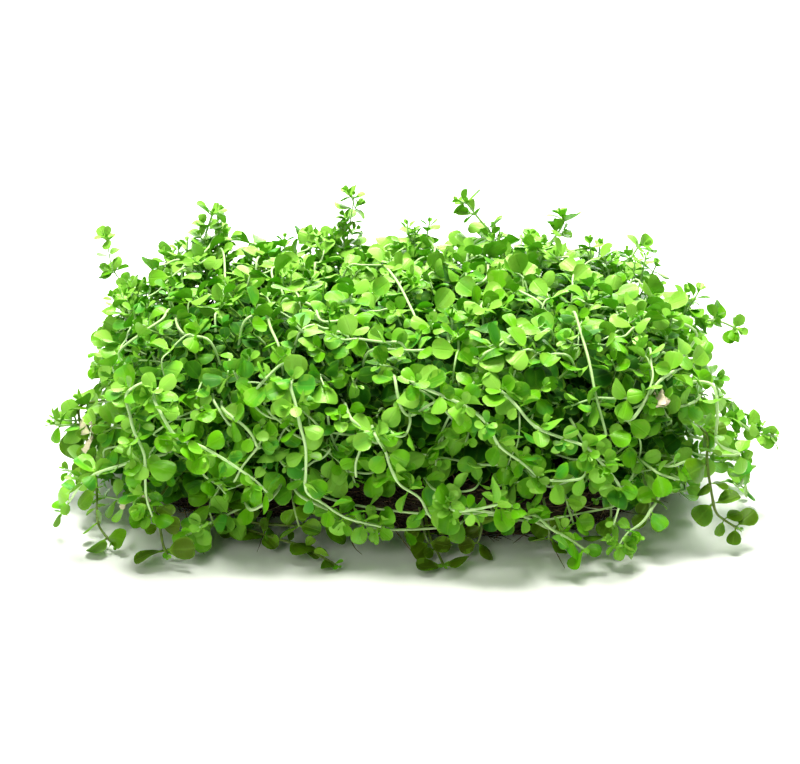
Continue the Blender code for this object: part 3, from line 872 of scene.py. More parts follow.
# %% Paths and the frame along them
def finer(points, step):
    """Points about this far apart on the smooth curve through the given ones."""
    rough = sum((b - a).length for a, b in zip(points, points[1:]))
    count = max(int(rough / step * 1.15), 4)
    return [through(points, k / count) for k in range(count + 1)]


def lengths_along(path):
    """How far along the path each point is."""
    total = [0.0]
    for a, b in zip(path, path[1:]):
        total.append(total[-1] + (b - a).length)
    return total


def point_at(path, lengths, distance):
    """The point and the heading at this distance along the path."""
    distance = min(max(distance, 0.0), lengths[-1] - 1e-6)
    i = next(k for k in range(1, len(lengths)) if lengths[k] > distance) - 1
    a, b = path[i], path[i + 1]
    share = (distance - lengths[i]) / max(lengths[i + 1] - lengths[i], 1e-9)
    before = path[max(i - 1, 0)]
    after = path[min(i + 2, len(path) - 1)]
    return a.lerp(b, share), (after - before).normalized()


def taper(path, thick, thin):
    """Radii that fall from thick at the root to thin at the tip."""
    count = len(path) - 1
    return [thick + (thin - thick) * (k / count) ** 1.5 for k in range(count + 1)]


def any_across(ahead, chance):
    """A direction square to the heading."""
    while True:
        way = Vector([chance.uniform(-1, 1) for k in range(3)])
        across = way - ahead * way.dot(ahead)
        if across.length > 0.3:
            return across.normalized()


def turned(way, axis, angle):
    """A direction turned about an axis."""
    return Matrix.Rotation(angle, 3, axis) @ way


# %% Leaves of a shoot
LEAF_LENGTH = 6.0
# Pairs from the tip back: distance from the tip, share of a grown leaf's length, opening in degrees
TIP_PAIRS = [(0.2, 0.27, 30), (0.9, 0.44, 54), (2.3, 0.68, 68), (5.2, 0.92, 76)]
GROWN_PAIR = (1.0, 78)
PAIR_SPACING = 4.8
AGE_LENGTH = 40.0
# Painted shade: a leaf's tone falls by one for every this many mm it lies below the form's surface
SHADE_DEPTH = 9.0
INNER_DEPTH = 7.5
# Painted light on the top: how far it pushes leaves to lime green, from which y it grows towards the back,
# and over how many mm
TOP_PAINTED_LIGHT, TOP_PAINTED_LIGHT_FROM, TOP_PAINTED_LIGHT_RUN = 0.42, -25, 50
# Painted light: leaves at the two ends are pushed towards lime green
SIDE_PAINTED_LIGHT = 0.16
LEAF_TRIES = 7
YOUNG_SHARE, TINY_SHARE = 0.62, 0.42
OPENING_SWAY, SIDE_SWAY = 14, 25
# What turns a leaf's upper face: the shoot's heading for young and grown leaves, the light, and chance
LEAN_YOUNG, LEAN_GROWN, TO_LIGHT, ASKEW = 1.2, 0.9, 0.6, 0.42
GROWN_WEIGHTS = (5, 5, 3, 2, 2, 2, 2)


def add_leaf(skeleton, chance, place, ahead, across, length, opening, outward, age, lime,
             must=False, wilt=0.0):
    """Adds one leaf if there is room for it."""
    young = length < YOUNG_SHARE * LEAF_LENGTH
    for attempt in range(LEAF_TRIES):
        angle = math.radians(opening + chance.uniform(-OPENING_SWAY, OPENING_SWAY))
        side = turned(across, ahead, math.radians(chance.uniform(-SIDE_SWAY, SIDE_SWAY)))
        out = (ahead * math.cos(angle) + side * math.sin(angle)).normalized()
        inward = -out.dot(outward)
        if inward > -0.1 and not young:
            out = (out + outward * (inward + chance.uniform(0.05, 0.45))).normalized()
        light = (outward * 0.35 + UP * 0.8).normalized()
        lean = (LEAN_YOUNG if young else LEAN_GROWN) * max(ahead.dot(light), 0.0)
        facing = (ahead - out * ahead.dot(out)) * lean + light * TO_LIGHT + any_across(out, chance) * ASKEW
        facing = straighten(facing, out)
        size = length * (1 if attempt < LEAF_TRIES - 2 else 0.8)
        disc = leaf_disc(place, out, facing, size)
        if young or must or room_for(disc):
            break
    else:
        return False
    leaf_discs.setdefault(disc_cell(disc[0]), []).append(disc)
    depth = depth_inside(place)
    # Painted light: leaves on the top, more so towards the back, and at the ends are pushed towards lime
    # green
    lime += TOP_PAINTED_LIGHT * max(outward.z, 0) ** 2 * min(max((place.y - TOP_PAINTED_LIGHT_FROM) / TOP_PAINTED_LIGHT_RUN, 0), 1)
    lime += SIDE_PAINTED_LIGHT * outward.x**2
    # Painted shade: leaves below the form's surface are darkened
    lime -= max(depth - 1.0, 0) / SHADE_DEPTH
    if wilt:
        shape = WITHERED_SHAPE
    elif depth > INNER_DEPTH and not young:
        shape = INNER_SHAPE
    elif young:
        shape = BUD_SHAPE if length < TINY_SHARE * LEAF_LENGTH else YOUNG_SHAPE
    else:
        shape = chance.choices(GROWN_SHAPES, weights=GROWN_WEIGHTS)[0]
    tone = lime + chance.uniform(-0.3, 0.26) + (0.12 if young else 0)
    skeleton.leaves.append({
        "place": place, "out": out, "facing": facing, "length": size, "shape": shape,
        "tone": min(max(tone, 0), 1), "age": age, "wilt": wilt})
    return True


def add_pairs(skeleton, chance, path, outward, leafy, vigour, lime, radius, spacing=PAIR_SPACING):
    """The opposite pairs of one shoot, from its tip back."""
    lengths = lengths_along(path)
    across = any_across(point_at(path, lengths, lengths[-1])[1], chance)
    pairs = list(TIP_PAIRS)
    while pairs[-1][0] < leafy:
        pairs.append((pairs[-1][0] + spacing * chance.uniform(0.8, 1.25), *GROWN_PAIR))
    for back, share, opening in pairs:
        if back > lengths[-1] - 1:
            break
        place, ahead = point_at(path, lengths, lengths[-1] - back)
        across = straighten(turned(across, ahead, math.pi / 2 + chance.uniform(-0.3, 0.3)), ahead)
        for way in (1, -1):
            length = LEAF_LENGTH * share * vigour * chance.uniform(0.86, 1.12)
            add_leaf(skeleton, chance, place + across * way * radius * 0.6, ahead, across * way, length,
                     opening, outward, min(back / AGE_LENGTH, 1) ** 1.3, lime)


# Pairs of a side shoot: how far back each is, its share of a grown leaf's length, opening in degrees
ROSETTE_PAIRS = [(0.0, 0.26, 30), (0.7, 0.44, 58), (1.6, 0.6, 74)]


def add_rosette(skeleton, chance, place, way, size=1.0):
    """A short side shoot seen from its tip: three crossed pairs, close together."""
    turn = any_across(way, chance)
    for back, share, opening in ROSETTE_PAIRS:
        turn = turned(turn, way, math.pi / 2)
        for side in (1, -1):
            add_leaf(skeleton, chance, place - way * back * size, way, turn * side,
                     LEAF_LENGTH * share * size * chance.uniform(0.85, 1.15), opening, way, 0.0, 0.8,
                     must=True)


# %% [markdown]
# ## The loose runners
# A runner is a stem that has worked free: it hangs over the edge, crosses the front or lies on the
# surface that the mat rests on. Each is a piece of its own, and follows the route of the frame's plain
# runner of the same name, point for point. Its stem starts a little further in, so it comes out of the
# foliage, and a rosette covers the bend. Runners are grown before the cushion, because its leaves then
# find their room round them.

# %% Routes of the runners
# The points of each stem from where it leaves the cushion to its tip, and its leaf pairs.
# A pair is its place along the stem from 0 to 1, then the length of its left and right leaves.
RUNNERS = {
    "left_long_runner": (
        [(-55, -43, 21), (-59, -44, 20), (-63, -45, 19), (-67, -44, 16), (-70, -41, 11), (-73, -38, 6)],
        [(0.35, 4, 6), (0.65, 0, 4), (0.95, 4, 4)],
    ),
    "left_drop_runner": (
        [(-72, -12, 20), (-71, -17, 16), (-69, -22, 15), (-67, -27, 12), (-66, -33, 8), (-65, -39, 4),
         (-61, -44, 1.5)],
        [(0.15, 0, 8), (0.4, 4, 6), (0.6, 4, 6), (0.93, 6, 6)],
    ),
    "left_front_runner": (
        [(-57, -41, 35), (-56, -45, 32), (-55, -47, 29), (-53, -49, 25), (-53, -49, 20), (-53, -49, 15),
         (-52, -48, 10)],
        [(0.55, 7, 5), (0.78, 4, 6), (1, 5, 5)],
    ),
    "left_crossing_runner": (
        [(-51, -44, 36), (-49, -48, 33), (-46, -50, 29), (-42, -51, 28), (-37, -51, 25), (-33, -51, 22),
         (-30, -50, 19), (-28, -49, 16)],
        [(0.3, 5, 5), (0.5, 5, 6), (1, 5, 5)],
    ),
    "left_hanging_runner": (
        [(-52, -44, 11), (-51, -47, 9), (-50, -50, 5), (-49, -51, 3)],
        [(0.9, 7, 7)],
    ),
    "front_arched_runner": (
        [(-38, -39, 9), (-35, -40, 6), (-32, -40, 4), (-27, -41, 4), (-22, -41, 4), (-17, -42, 6),
         (-14, -43, 8)],
        [(0.4, 3, 5), (0.85, 4, 7)],
    ),
    "front_low_runner": (
        [(-44, -36, 4), (-41, -36, 1), (-37, -38, 1), (-32, -41, 1), (-27, -44, 1), (-22, -46, 1),
         (-18, -49, 1), (-14, -52, 1)],
        [(0.32, 0, 6), (0.64, 0, 7), (0.9, 4, 4)],
    ),
    "front_drop_runner": (
        [(-23, -46, 39), (-22, -49, 36), (-21, -51, 32), (-20, -52, 28), (-20, -52, 23), (-20, -52, 18),
         (-17, -51, 15), (-12, -50, 11), (-5, -48, 8)],
        [(0.22, 5, 5), (0.5, 5, 4), (0.8, 5, 5), (1, 5, 4)],
    ),
    "front_centre_runner": (
        [(-6, -49, 29), (-4, -50, 26), (-3, -51, 23), (-1, -51, 19), (3, -51, 16), (5, -51, 12),
         (8, -50, 9)],
        [(0.35, 5, 5), (0.75, 4, 4)],
    ),
    "front_trio_runner": (
        [(9, -53, 15), (11, -55, 15), (15, -56, 16), (19, -56, 17), (22, -55, 16)],
        [(0.7, 7, 6), (0.96, 0, 4)],
    ),
    "front_upper_runner": (
        [(3, -47, 39), (10, -50, 37), (14, -51, 35), (17, -52, 32), (19, -52, 28), (24, -52, 24),
         (27, -52, 21)],
        [(0.3, 5, 5), (0.65, 6, 5), (1, 5, 5)],
    ),
    "front_arc_runner": (
        [(20, -46, 37), (22, -49, 36), (26, -51, 32), (31, -52, 30), (36, -52, 28), (39, -52, 25),
         (43, -52, 20), (44, -51, 16), (43, -49, 9)],
        [(0.25, 6, 5), (0.5, 5, 5), (0.75, 5, 6)],
    ),
    "front_sweep_runner": (
        [(25, -46, 10), (27, -49, 11), (30, -51, 9), (34, -52, 7), (37, -53, 5)],
        [(0.6, 4, 5), (1, 4, 6)],
    ),
    "right_pale_runner": (
        [(53, -42, 13), (51, -46, 11), (49, -48, 9), (46, -49, 7), (44, -51, 5)],
        [(0.35, 5, 0), (1, 4, 3)],
    ),
    "front_floor_pair": (
        [(5, -43, 4), (7, -48, 1.5), (8, -52, 1)],
        [(0.95, 6, 6)],
    ),
    "right_corner_runner": (
        [(63, -36, 24), (63, -40, 19), (64, -42, 13), (65, -43, 9), (67, -43, 7), (70, -43, 5)],
        [(0.3, 0, 8), (0.65, 6, 6), (1, 6, 4)],
    ),
    "right_side_sprig": (
        [(71, -22, 21), (75, -24, 19), (80, -24, 18)],
        [(0.35, 5, 0), (1, 4, 4)],
    ),
    "right_low_runner": (
        [(69, -29, 18), (72, -29, 15), (74, -26, 10), (74, -20, 4), (74, -13, 1.5)],
        [(0.3, 4, 4), (0.65, 4, 5), (1, 4, 4)],
    ),
    "top_tall_shoot": (
        [(20, 22, 44), (20, 22, 49), (17, 22, 53), (14, 22, 57)],
        [(0.45, 5, 5), (1, 4, 5)],
    ),
    "top_left_tuft": (
        [(-47, 24, 42), (-47, 25, 47), (-45, 26, 53)],
        [(0.4, 5, 5), (0.95, 5, 5)],
    ),
    "top_middle_shoot": (
        [(-14, 29, 43), (-13, 30, 49), (-12, 30, 56)],
        [(0.5, 3, 3), (1, 3, 3)],
    ),
    "top_right_pair": (
        [(34, 31, 43), (37, 32, 47), (38, 32, 50)],
        [(0.9, 5, 6)],
    ),
    "left_top_shoot": (
        [(-63, 11, 39), (-67, 12, 44), (-68, 13, 51)],
        [(0.4, 5, 5), (1, 3, 3)],
    ),
    "top_corner_shoot": (
        [(52, 29, 37), (54, 31, 40), (56, 32, 43)],
        [(0.5, 5, 5), (1, 5, 5)],
    ),
    "right_shoulder_shoot": (
        [(68, 13, 30), (72, 13, 31), (77, 13, 29)],
        [(0.4, 6, 5), (1, 4, 4)],
    ),
    "right_back_runner": (
        [(71, 10, 18), (74, 13, 12), (74, 18, 6), (71, 25, 2), (68, 31, 1.2)],
        [(0.25, 5, 6), (0.6, 6, 5), (1, 5, 5)],
    ),
    "back_right_runner": (
        [(42, 46, 24), (39, 50, 18), (34, 51, 11), (28, 52, 5), (21, 54, 1.5), (15, 55, 1.2)],
        [(0.2, 5, 5), (0.45, 5, 6), (0.7, 6, 5), (1, 5, 5)],
    ),
    "back_drop_runner": (
        [(8, 47, 33), (5, 50, 27), (1, 52, 20), (-3, 52, 13), (-5, 52, 7)],
        [(0.25, 5, 5), (0.55, 5, 6), (1, 5, 5)],
    ),
    "back_left_runner": (
        [(-30, 47, 26), (-34, 51, 19), (-38, 52, 11), (-43, 53, 4), (-50, 53, 1.2)],
        [(0.25, 6, 5), (0.6, 5, 5), (1, 5, 5)],
    ),
    "left_back_runner": (
        [(-69, 18, 24), (-72, 22, 17), (-73, 26, 10), (-71, 31, 4), (-66, 36, 1.5)],
        [(0.3, 5, 6), (0.65, 6, 5), (1, 5, 5)],
    ),
}


# %% Grow the runners
RUNNER_THICK, RUNNER_THIN = 0.34, 0.24
RUNNER_ROOT = 9.0
RUNNER_STEP = 1.1
RUNNER_LOWEST = 0.75
# Old runners that their own leaves hold a little off the surface, in their middle
RUNNER_LIFT = {"front_low_runner": 2.4, "front_arched_runner": 1.0}
FLOOR_CLEAR = 0.45
NODE_SWELL = 1.25
RUNNER_LEAF = 0.93
PAIR_GAP = 6.0
BUD_SHARE = 0.4
# Runners that start above this height get a rosette over their bend, this much larger than a bud's
COVER_HEIGHT = 12.0
COVER_SIZE = 1.4
RUNNER_OPENING = 74
RUNNER_TIP_PAIRS = [(0.1, 0.2, 25), (0.8, 0.34, 48)]
PALE_RUNNERS = ("left_long_runner", "left_front_runner", "left_crossing_runner", "front_drop_runner",
                "front_arc_runner", "front_upper_runner", "front_trio_runner", "front_centre_runner",
                "right_pale_runner")
OLIVE_RUNNERS = ("front_arched_runner", "front_low_runner", "left_drop_runner", "left_hanging_runner",
                 "front_floor_pair", "right_corner_runner")
UPRIGHT_RUNNERS = ("front_trio_runner",)
THREAD_RUNNERS = ("top_middle_shoot", "left_top_shoot")


def outward_at(point):
    """The way out of the cushion at a point on or near its surface: up on top, sideways at the sides."""
    x = (point.x - CUSHION_CENTRE.x) / CUSHION_HALF_LENGTH
    y = (point.y - CUSHION_CENTRE.y) / CUSHION_HALF_WIDTH
    z = max(point.z - CUSHION_TOP * 0.5, 0) / (CUSHION_TOP * 0.5)
    return (Vector((x**5, y**5, 0)) * 1.2 + UP * (z**3 + 0.15)).normalized()


def inside_start(point, second):
    """A point within the foliage, from which a runner that is first seen at this point can have come."""
    middle = Vector((point.x * 0.8, point.y * 0.6, max(point.z - 6, PAD_TOP + 2)))
    way = (middle - point).normalized() + (point - second).normalized() * 0.4
    return point + way.normalized() * RUNNER_ROOT


def above_floor(leaf):
    """Lays down a leaf, only as far as it needs, that would dip below the surface that the mat rests on."""
    first_out, first_facing, length = leaf["out"], leaf["facing"], leaf["length"]
    for share in (0, 0.2, 0.4, 0.6, 0.8, 1):
        level = max(first_out.z, 0.04)
        out = Vector((first_out.x, first_out.y, first_out.z + (level - first_out.z) * share)).normalized()
        facing = straighten(first_facing.lerp(UP, share * 0.9), out)
        flat = math.sqrt(max(1 - facing.z**2, 0))
        if leaf["place"].z + min(out.z, 0) * length - length * 0.42 * flat > FLOOR_CLEAR:
            break
    else:
        leaf["place"] = leaf["place"] + UP * max(0.0, FLOOR_CLEAR - leaf["place"].z + 0.3)
    leaf["out"], leaf["facing"] = out, facing
    return leaf


def swell_at(path, lengths, radii, places):
    """Radii with a slight swelling where each leaf pair grows."""
    swollen = list(radii)
    for place in places:
        for k, length in enumerate(lengths):
            swollen[k] *= 1 + (NODE_SWELL - 1) * math.exp(-(((length - place) / 0.9) ** 2))
    return swollen


def first_side(path, name):
    """The side on which the leaves of a runner's table are right, where its stem begins."""
    ahead = (path[1] - path[0]).normalized()
    if name in UPRIGHT_RUNNERS:
        return -UP
    return ahead.cross(UP if abs(ahead.z) < 0.85 else Vector((0, 1, 0)))


def between_pairs(pairs, run, chance):
    """A pair where the stem comes out, and smaller ones on the bare stretches of the table."""
    extra = [(0.01, chance.uniform(4.5, 6), chance.uniform(4.5, 6))]
    places = [0.0] + [p[0] for p in pairs]
    for a, b in zip(places, places[1:]):
        count = int((b - a) * run / PAIR_GAP)
        for k in range(count):
            share = (k + 1) / (count + 1) + chance.uniform(-0.06, 0.06)
            extra.append((a + (b - a) * share, chance.uniform(3.0, 5.2), chance.uniform(3.0, 5.2)))
    return extra


def grow_runner(name):
    """One runner: its stem, the pairs of the table, smaller ones between them, and buds."""
    chance = random.Random(name)
    route, pairs = RUNNERS[name]
    points = [inside_start(Vector(route[0]), Vector(route[1])), *[Vector(p) for p in route]]
    path = finer(points, RUNNER_STEP)
    for k, p in enumerate(path):
        p.z = max(p.z, RUNNER_LOWEST) + RUNNER_LIFT.get(name, 0) * math.sin(math.pi * k / (len(path) - 1))
    lengths = lengths_along(path)
    start = RUNNER_ROOT
    run = lengths[-1] - start
    pale = 0.95 if name in PALE_RUNNERS else 0.15 if name in OLIVE_RUNNERS else 0.6
    age = 0.75 if name in OLIVE_RUNNERS else 0.12
    places = [start + run * place for place, left, right in pairs]
    runner = Skeleton()
    slim = 0.5 if name in THREAD_RUNNERS else 1
    radii = swell_at(path, lengths, taper(path, RUNNER_THICK * slim, RUNNER_THIN * slim), places)
    runner.add_stem(path, radii, pale, [age] * len(path))
    leaf_age = age + chance.uniform(-0.1, 0.2)
    side = first_side(path, name)
    sides = [side := straighten(side, (b - a).normalized()) for a, b in zip(path, path[1:])]
    for place, left, right in pairs + between_pairs(pairs, run, chance):
        distance = min(start + run * place, lengths[-1] - 0.6)
        at, ahead = point_at(path, lengths, distance)
        side = straighten(sides[min(sum(x < distance for x in lengths), len(sides)) - 1], ahead)
        for way, length in ((-1, left), (1, right)):
            if length:
                add_leaf(runner, chance, at + side * way * 0.25, ahead, side * way, length * RUNNER_LEAF,
                         RUNNER_OPENING, outward_at(at), leaf_age, 0.55 - 0.25 * age, must=True)
                if age < 0.5 and chance.random() < BUD_SHARE:
                    way_out = (ahead * 0.5 + side * way + UP * 0.4).normalized()
                    add_rosette(runner, chance, at + way_out * 2.2, way_out)
    if min(p[2] for p in route[:2]) > COVER_HEIGHT:
        at = point_at(path, lengths, start - 1.5)[0]
        way_out = (outward_at(at) + UP * 0.5).normalized()
        add_rosette(runner, chance, at + way_out * 1.8, way_out, COVER_SIZE)
    tip_side = any_across(point_at(path, lengths, lengths[-1])[1], chance)
    for back, share, opening in RUNNER_TIP_PAIRS:
        at, ahead = point_at(path, lengths, lengths[-1] - back)
        tip_side = straighten(turned(tip_side, ahead, math.pi / 2), ahead)
        for way in (1, -1):
            add_leaf(runner, chance, at, ahead, tip_side * way, LEAF_LENGTH * share, opening,
                     outward_at(at), 0.0, 0.7, must=True)
    runner.leaves = [above_floor(leaf) for leaf in runner.leaves]
    return runner


runners = {name: grow_runner(name) for name in RUNNERS}
for name, skeleton in runners.items():
    dress(name + "_grown", skeleton, [name])
print("runners:", len(runners), "their leaves:", sum(len(r.leaves) for r in runners.values()))

# %% [markdown]
# ## Stolons that creep over the cushion
# What breaks up the green is the tangle of pale stems that run over it. The ones that can be told apart
# in the photograph are listed by points on the cushion's surface. The rest are walked over the form from
# a random start, so that the back and the ends are as tangled as the front. About two in three of those
# turn up at their end into a leafy tip.

# %% Stolons listed one by one and by rule
# Each stolon that can be told apart: its points in mm, and its radius before STOLON_THICKNESS
HAND_STOLONS = {
    "arc_upper_left": ([(-26, -12, 45), (-20, -16, 45), (-18, -22, 44), (-15, -23, 44), (-7, -19, 44)],
                       0.5),
    "flat_middle": ([(-7, -35, 42), (2, -35, 42), (7, -34, 42), (9, -34, 42), (9, -30, 44)], 0.45),
    "curl_top": ([(14, 10, 44), (15, 20, 46), (18, 22, 48), (20, 20, 47), (19, 13, 46), (18, -1, 46),
                  (13, -5, 44)], 0.45),
    "long_right": ([(36, -20, 45), (37, -30, 43), (38, -37, 40), (39, -42, 35), (41, -45, 28)], 0.48),
    "pale_right_top": ([(48, -13, 43), (53, -16, 43), (58, -17, 42), (63, -17, 39)], 0.52),
    "pale_right_fork": ([(47, -42, 30), (50, -40, 34), (53, -38, 37), (56, -36, 38)], 0.55),
    "pale_right_upright": ([(51, -31, 41), (51, -35, 39), (51, -38, 37), (49, -41, 33)], 0.42),
    "right_shoulder": ([(64, -34, 34), (65, -37, 29), (65, -39, 23), (70, -38, 20)], 0.5),
    "left_bow": ([(-49, -19, 43), (-48, -24, 43), (-46, -26, 42), (-41, -29, 42)], 0.48),
    "left_straight": ([(-61, -24, 37), (-56, -22, 41), (-52, -19, 43), (-51, -13, 43)], 0.45),
    "left_high": ([(-51, 11, 44), (-49, 14, 45), (-46, 20, 46), (-44, 25, 48)], 0.42),
    "left_hook": ([(-43, 20, 46), (-42, 18, 45), (-41, 9, 43), (-40, 1, 43)], 0.42),
    "left_fork": ([(-34, -23, 44), (-30, -21, 45), (-28, -28, 44), (-26, -34, 42)], 0.48),
    "long_top": ([(-5, 10, 45), (-2, 1, 45), (1, -13, 44), (3, -22, 42)], 0.45),
    "top_twig": ([(-1, 2, 44), (3, 18, 44), (6, 18, 45), (7, 24, 45), (5, 27, 46)], 0.38),
    "top_right_bow": ([(19, -7, 45), (23, -8, 46), (26, -11, 46), (30, -14, 44)], 0.45),
    "pale_centre_right": ([(16, -38, 42), (19, -36, 43), (21, -34, 44), (25, -28, 45)], 0.58),
    "front_fork": ([(-11, -47, 32), (-9, -48, 30), (-9, -48, 26), (-10, -49, 23), (-10, -49, 20)], 0.45),
    "front_curl": ([(-2, -44, 39), (-1, -47, 35), (1, -48, 33), (5, -47, 35), (7, -47, 36)], 0.48),
    "front_hook": ([(1, -48, 33), (1, -50, 32), (0, -51, 30), (-2, -51, 30)], 0.42),
    "front_flat": ([(6, -49, 17), (10, -50, 17), (14, -49, 17)], 0.35),
    "right_flat": ([(27, -48, 19), (31, -49, 19), (36, -48, 19)], 0.45),
    "left_front_bow": ([(-37, -43, 32), (-33, -46, 30), (-31, -47, 28), (-30, -48, 26)], 0.5),
    "left_front_back": ([(-30, -48, 26), (-33, -48, 22), (-35, -47, 18)], 0.4),
    "low_left_pale": ([(-32, -48, 12), (-30, -49, 13), (-27, -48, 15)], 0.55),
    "mid_left_pale": ([(-30, -43, 37), (-28, -42, 39), (-25, -40, 41)], 0.5),
    "right_low_bow": ([(51, -43, 19), (53, -44, 18), (57, -42, 16)], 0.45),
    "right_low_flat": ([(55, -42, 19), (58, -42, 20), (62, -40, 20)], 0.42),
    "pad_left": ([(-22, -47, 15), (-18, -48, 13), (-12, -48, 10), (-5, -47, 7), (4, -47, 7), (11, -47, 8)],
                 0.5),
    "pad_beside": ([(-17, -46, 14), (-8, -47, 12), (4, -48, 11), (14, -48, 11), (22, -47, 10)], 0.4),
    "pad_right": ([(9, -48, 13), (16, -49, 12), (24, -49, 11), (30, -49, 8)], 0.5),
    "pad_low": ([(20, -46, 9), (28, -47, 9), (36, -46, 10), (44, -44, 11)], 0.36),
}
STOLON_THICKNESS = 0.72
RULE_STOLONS = 130
RISING_STOLONS = 0.65
STOLON_STEP = 3.0
STOLON_PAIR_SPACING = 6.5
HAND_PAIR_SPACING, OLD_PAIR_SPACING = 7.0, 16.0
OLD_BELOW = 16


def dip_in(points, depth=6.0):
    """The points with both ends led back into the foliage."""
    first, last = points[0], points[-1]
    before = first + (first - points[1]).normalized() * 2 - outward_at(first) * depth
    after = last + (last - points[-2]).normalized() * 2 - outward_at(last) * depth
    return [before, *points, after]


def walk_stolon(chance, start, outward):
    """A stem that creeps over the form from its start, turning a little at each step."""
    heading = any_across(outward, chance) - UP * (1 - outward.z) * chance.uniform(-0.3, 0.9)
    heading = straighten(heading, outward)
    point = start + outward * chance.uniform(0.3, 1.6)
    points = [point]
    bend = chance.uniform(-0.2, 0.2)
    for k in range(chance.randint(3, 6)):
        outward = outward_at(point)
        heading = straighten(turned(heading, outward, bend + chance.uniform(-0.2, 0.2)), outward)
        point = point + heading * STOLON_STEP
        nearest, normal = form_surface.find_nearest(point)[:2]
        point = nearest + normal * chance.uniform(0.2, 1.8)
        if point.z < FOOT_HEIGHT:
            break
        points.append(point)
    return points


def grow_stolons():
    """All stolons as one skeleton."""
    chance = random.Random(5)
    stolons = Skeleton()
    for points, radius in HAND_STOLONS.values():
        path = finer(dip_in([Vector(p) for p in points]), RUNNER_STEP)
        radius *= STOLON_THICKNESS
        age = 0.5 if points[0][2] < OLD_BELOW else 0.0
        radii = taper(path, radius, radius * 0.8)
        stolons.add_stem(path, radii, chance.uniform(0.6, 1.0), [age] * len(path))
        add_side_pairs(stolons, chance, path, radius, OLD_PAIR_SPACING if age else HAND_PAIR_SPACING, 0.8)
    for start, outward in scatter(RULE_STOLONS, 8.0, 31):
        points = walk_stolon(chance, start, outward)
        if len(points) < 3:
            continue
        points = dip_in(points, 4.0)
        rises = chance.random() < RISING_STOLONS
        if rises:
            outward = outward_at(points[-2])
            points[-1] = points[-2] + (points[-2] - points[-3]).normalized() * 2.4 + outward * 1.8
        path = finer(points, RUNNER_STEP)
        radius = chance.uniform(0.2, 0.33)
        radii = taper(path, radius, radius * 0.7)
        stolons.add_stem(path, radii, chance.uniform(0.5, 1.0), [0.1] * len(path))
        if rises:
            add_pairs(stolons, chance, path, outward, lengths_along(path)[-1] - 5, 0.85, 0.7, radius,
                      STOLON_PAIR_SPACING)
        else:
            add_side_pairs(stolons, chance, path, radius, STOLON_PAIR_SPACING, 1.0)
    return stolons


def add_side_pairs(skeleton, chance, path, radius, spacing, vigour):
    """Pairs along a stem that lies on the cushion, each leaf to its own side of the stem."""
    lengths = lengths_along(path)
    at = chance.uniform(2, 4)
    while at < lengths[-1] - 2:
        place, ahead = point_at(path, lengths, at)
        outward = outward_at(place)
        across = straighten(turned(ahead.cross(outward), ahead, chance.uniform(-0.5, 0.5)), ahead)
        for way in (1, -1):
            add_leaf(skeleton, chance, place + across * way * radius * 0.6, ahead, across * way,
                     LEAF_LENGTH * vigour * chance.uniform(0.65, 1.05), 62, outward, chance.uniform(0, 0.3),
                     chance.uniform(0.4, 0.8))
        at += spacing * chance.uniform(0.75, 1.3)


stolons = grow_stolons()
print("stolons:", len(stolons.stems), "their leaves:", len(stolons.leaves))

# %% [markdown]
# ## The shoots of the cushion
# The tips are scattered evenly over the cushion's form, some a little in and some a little out, so the
# outline is ragged. A shoot rises from the pad under its tip and bends over to its own heading. On top
# most shoots stand up; down the sides some reach up to the light and some hang. Tufts of shoots that
# stand clear of the outline, old sprigs over the pad's front and a few withered leaves are placed one by
# one.

# %% Grow the cushion's shoots
SHOOT_COUNT = 560
SHOOT_APART = 5.0
SHOOT_STEP = 1.7
STEM_THICK, STEM_THIN = 0.34, 0.2
WOBBLE = 1.3
WOBBLE_SIZE = 9.0
# A shoot's root lies nearer the middle than its tip: the share in x and y that is left, and chance in mm
ROOT_SHARE = (0.76, 0.66)
ROOT_SPREAD = (7, 6)
# Of the shoots on the sides, the shares that reach up and that hang
UPWARD_SHARE, HANGING_SHARE = 0.42, 0.38
# How far out of the form a tip is, how much of a shoot has leaves, and how large they are
TIP_OUT = (-5.5, 2.0)
LEAFY = (15, 24)
VIGOUR = (0.72, 1.2)


def shoot_path(chance, tip, heading, outward):
    """A stem from the pad to its tip, arriving there with this heading."""
    x, y = (at * share + chance.uniform(-far, far) for at, share, far in zip(tip, ROOT_SHARE, ROOT_SPREAD))
    root = Vector((x, y, 0))
    root.z = min(PAD_TOP + chance.uniform(-1, 5), tip.z)
    reach = (tip - root).length
    lift = root + (UP * 0.55 + outward * 0.25 + any_across(UP, chance) * 0.35) * reach * 0.45
    near = tip - heading * reach * chance.uniform(0.3, 0.5)
    path = []
    for k in range(9):
        t = k / 8
        point = root * (1 - t) ** 3 + lift * 3 * t * (1 - t) ** 2 + near * 3 * t * t * (1 - t) + tip * t**3
        shift = Vector([wander(point, WOBBLE_SIZE, seed) for seed in (3, 4, 5)]) * WOBBLE
        path.append(point + shift * math.sin(math.pi * t))
    return finer(path, SHOOT_STEP)


def shoot_heading(chance, outward):
    """Where a shoot's tip points: up on the top, and up, aside or down on the sides."""
    aside = any_across(outward, chance)
    steep = outward.dot(UP)
    if steep > 0.6:
        return (outward * 0.8 + aside * chance.uniform(0.2, 1.3)).normalized()
    mood = chance.random()
    if mood < UPWARD_SHARE:
        return (outward * 0.75 + UP * 0.6 + aside * 0.4).normalized()
    if mood < UPWARD_SHARE + HANGING_SHARE:
        return (outward * 0.45 - UP * 0.7 + aside * 0.35).normalized()
    return (outward * 0.5 + aside * 0.9).normalized()


def old_and_shaded_to_new(path, start=0.9):
    """Ages that fall from old at the root to none at the tip; the dark old end, deep inside, is partly
    painted shade.
    """
    count = len(path) - 1
    return [max(start * (1 - 1.6 * k / count), 0) for k in range(count + 1)]


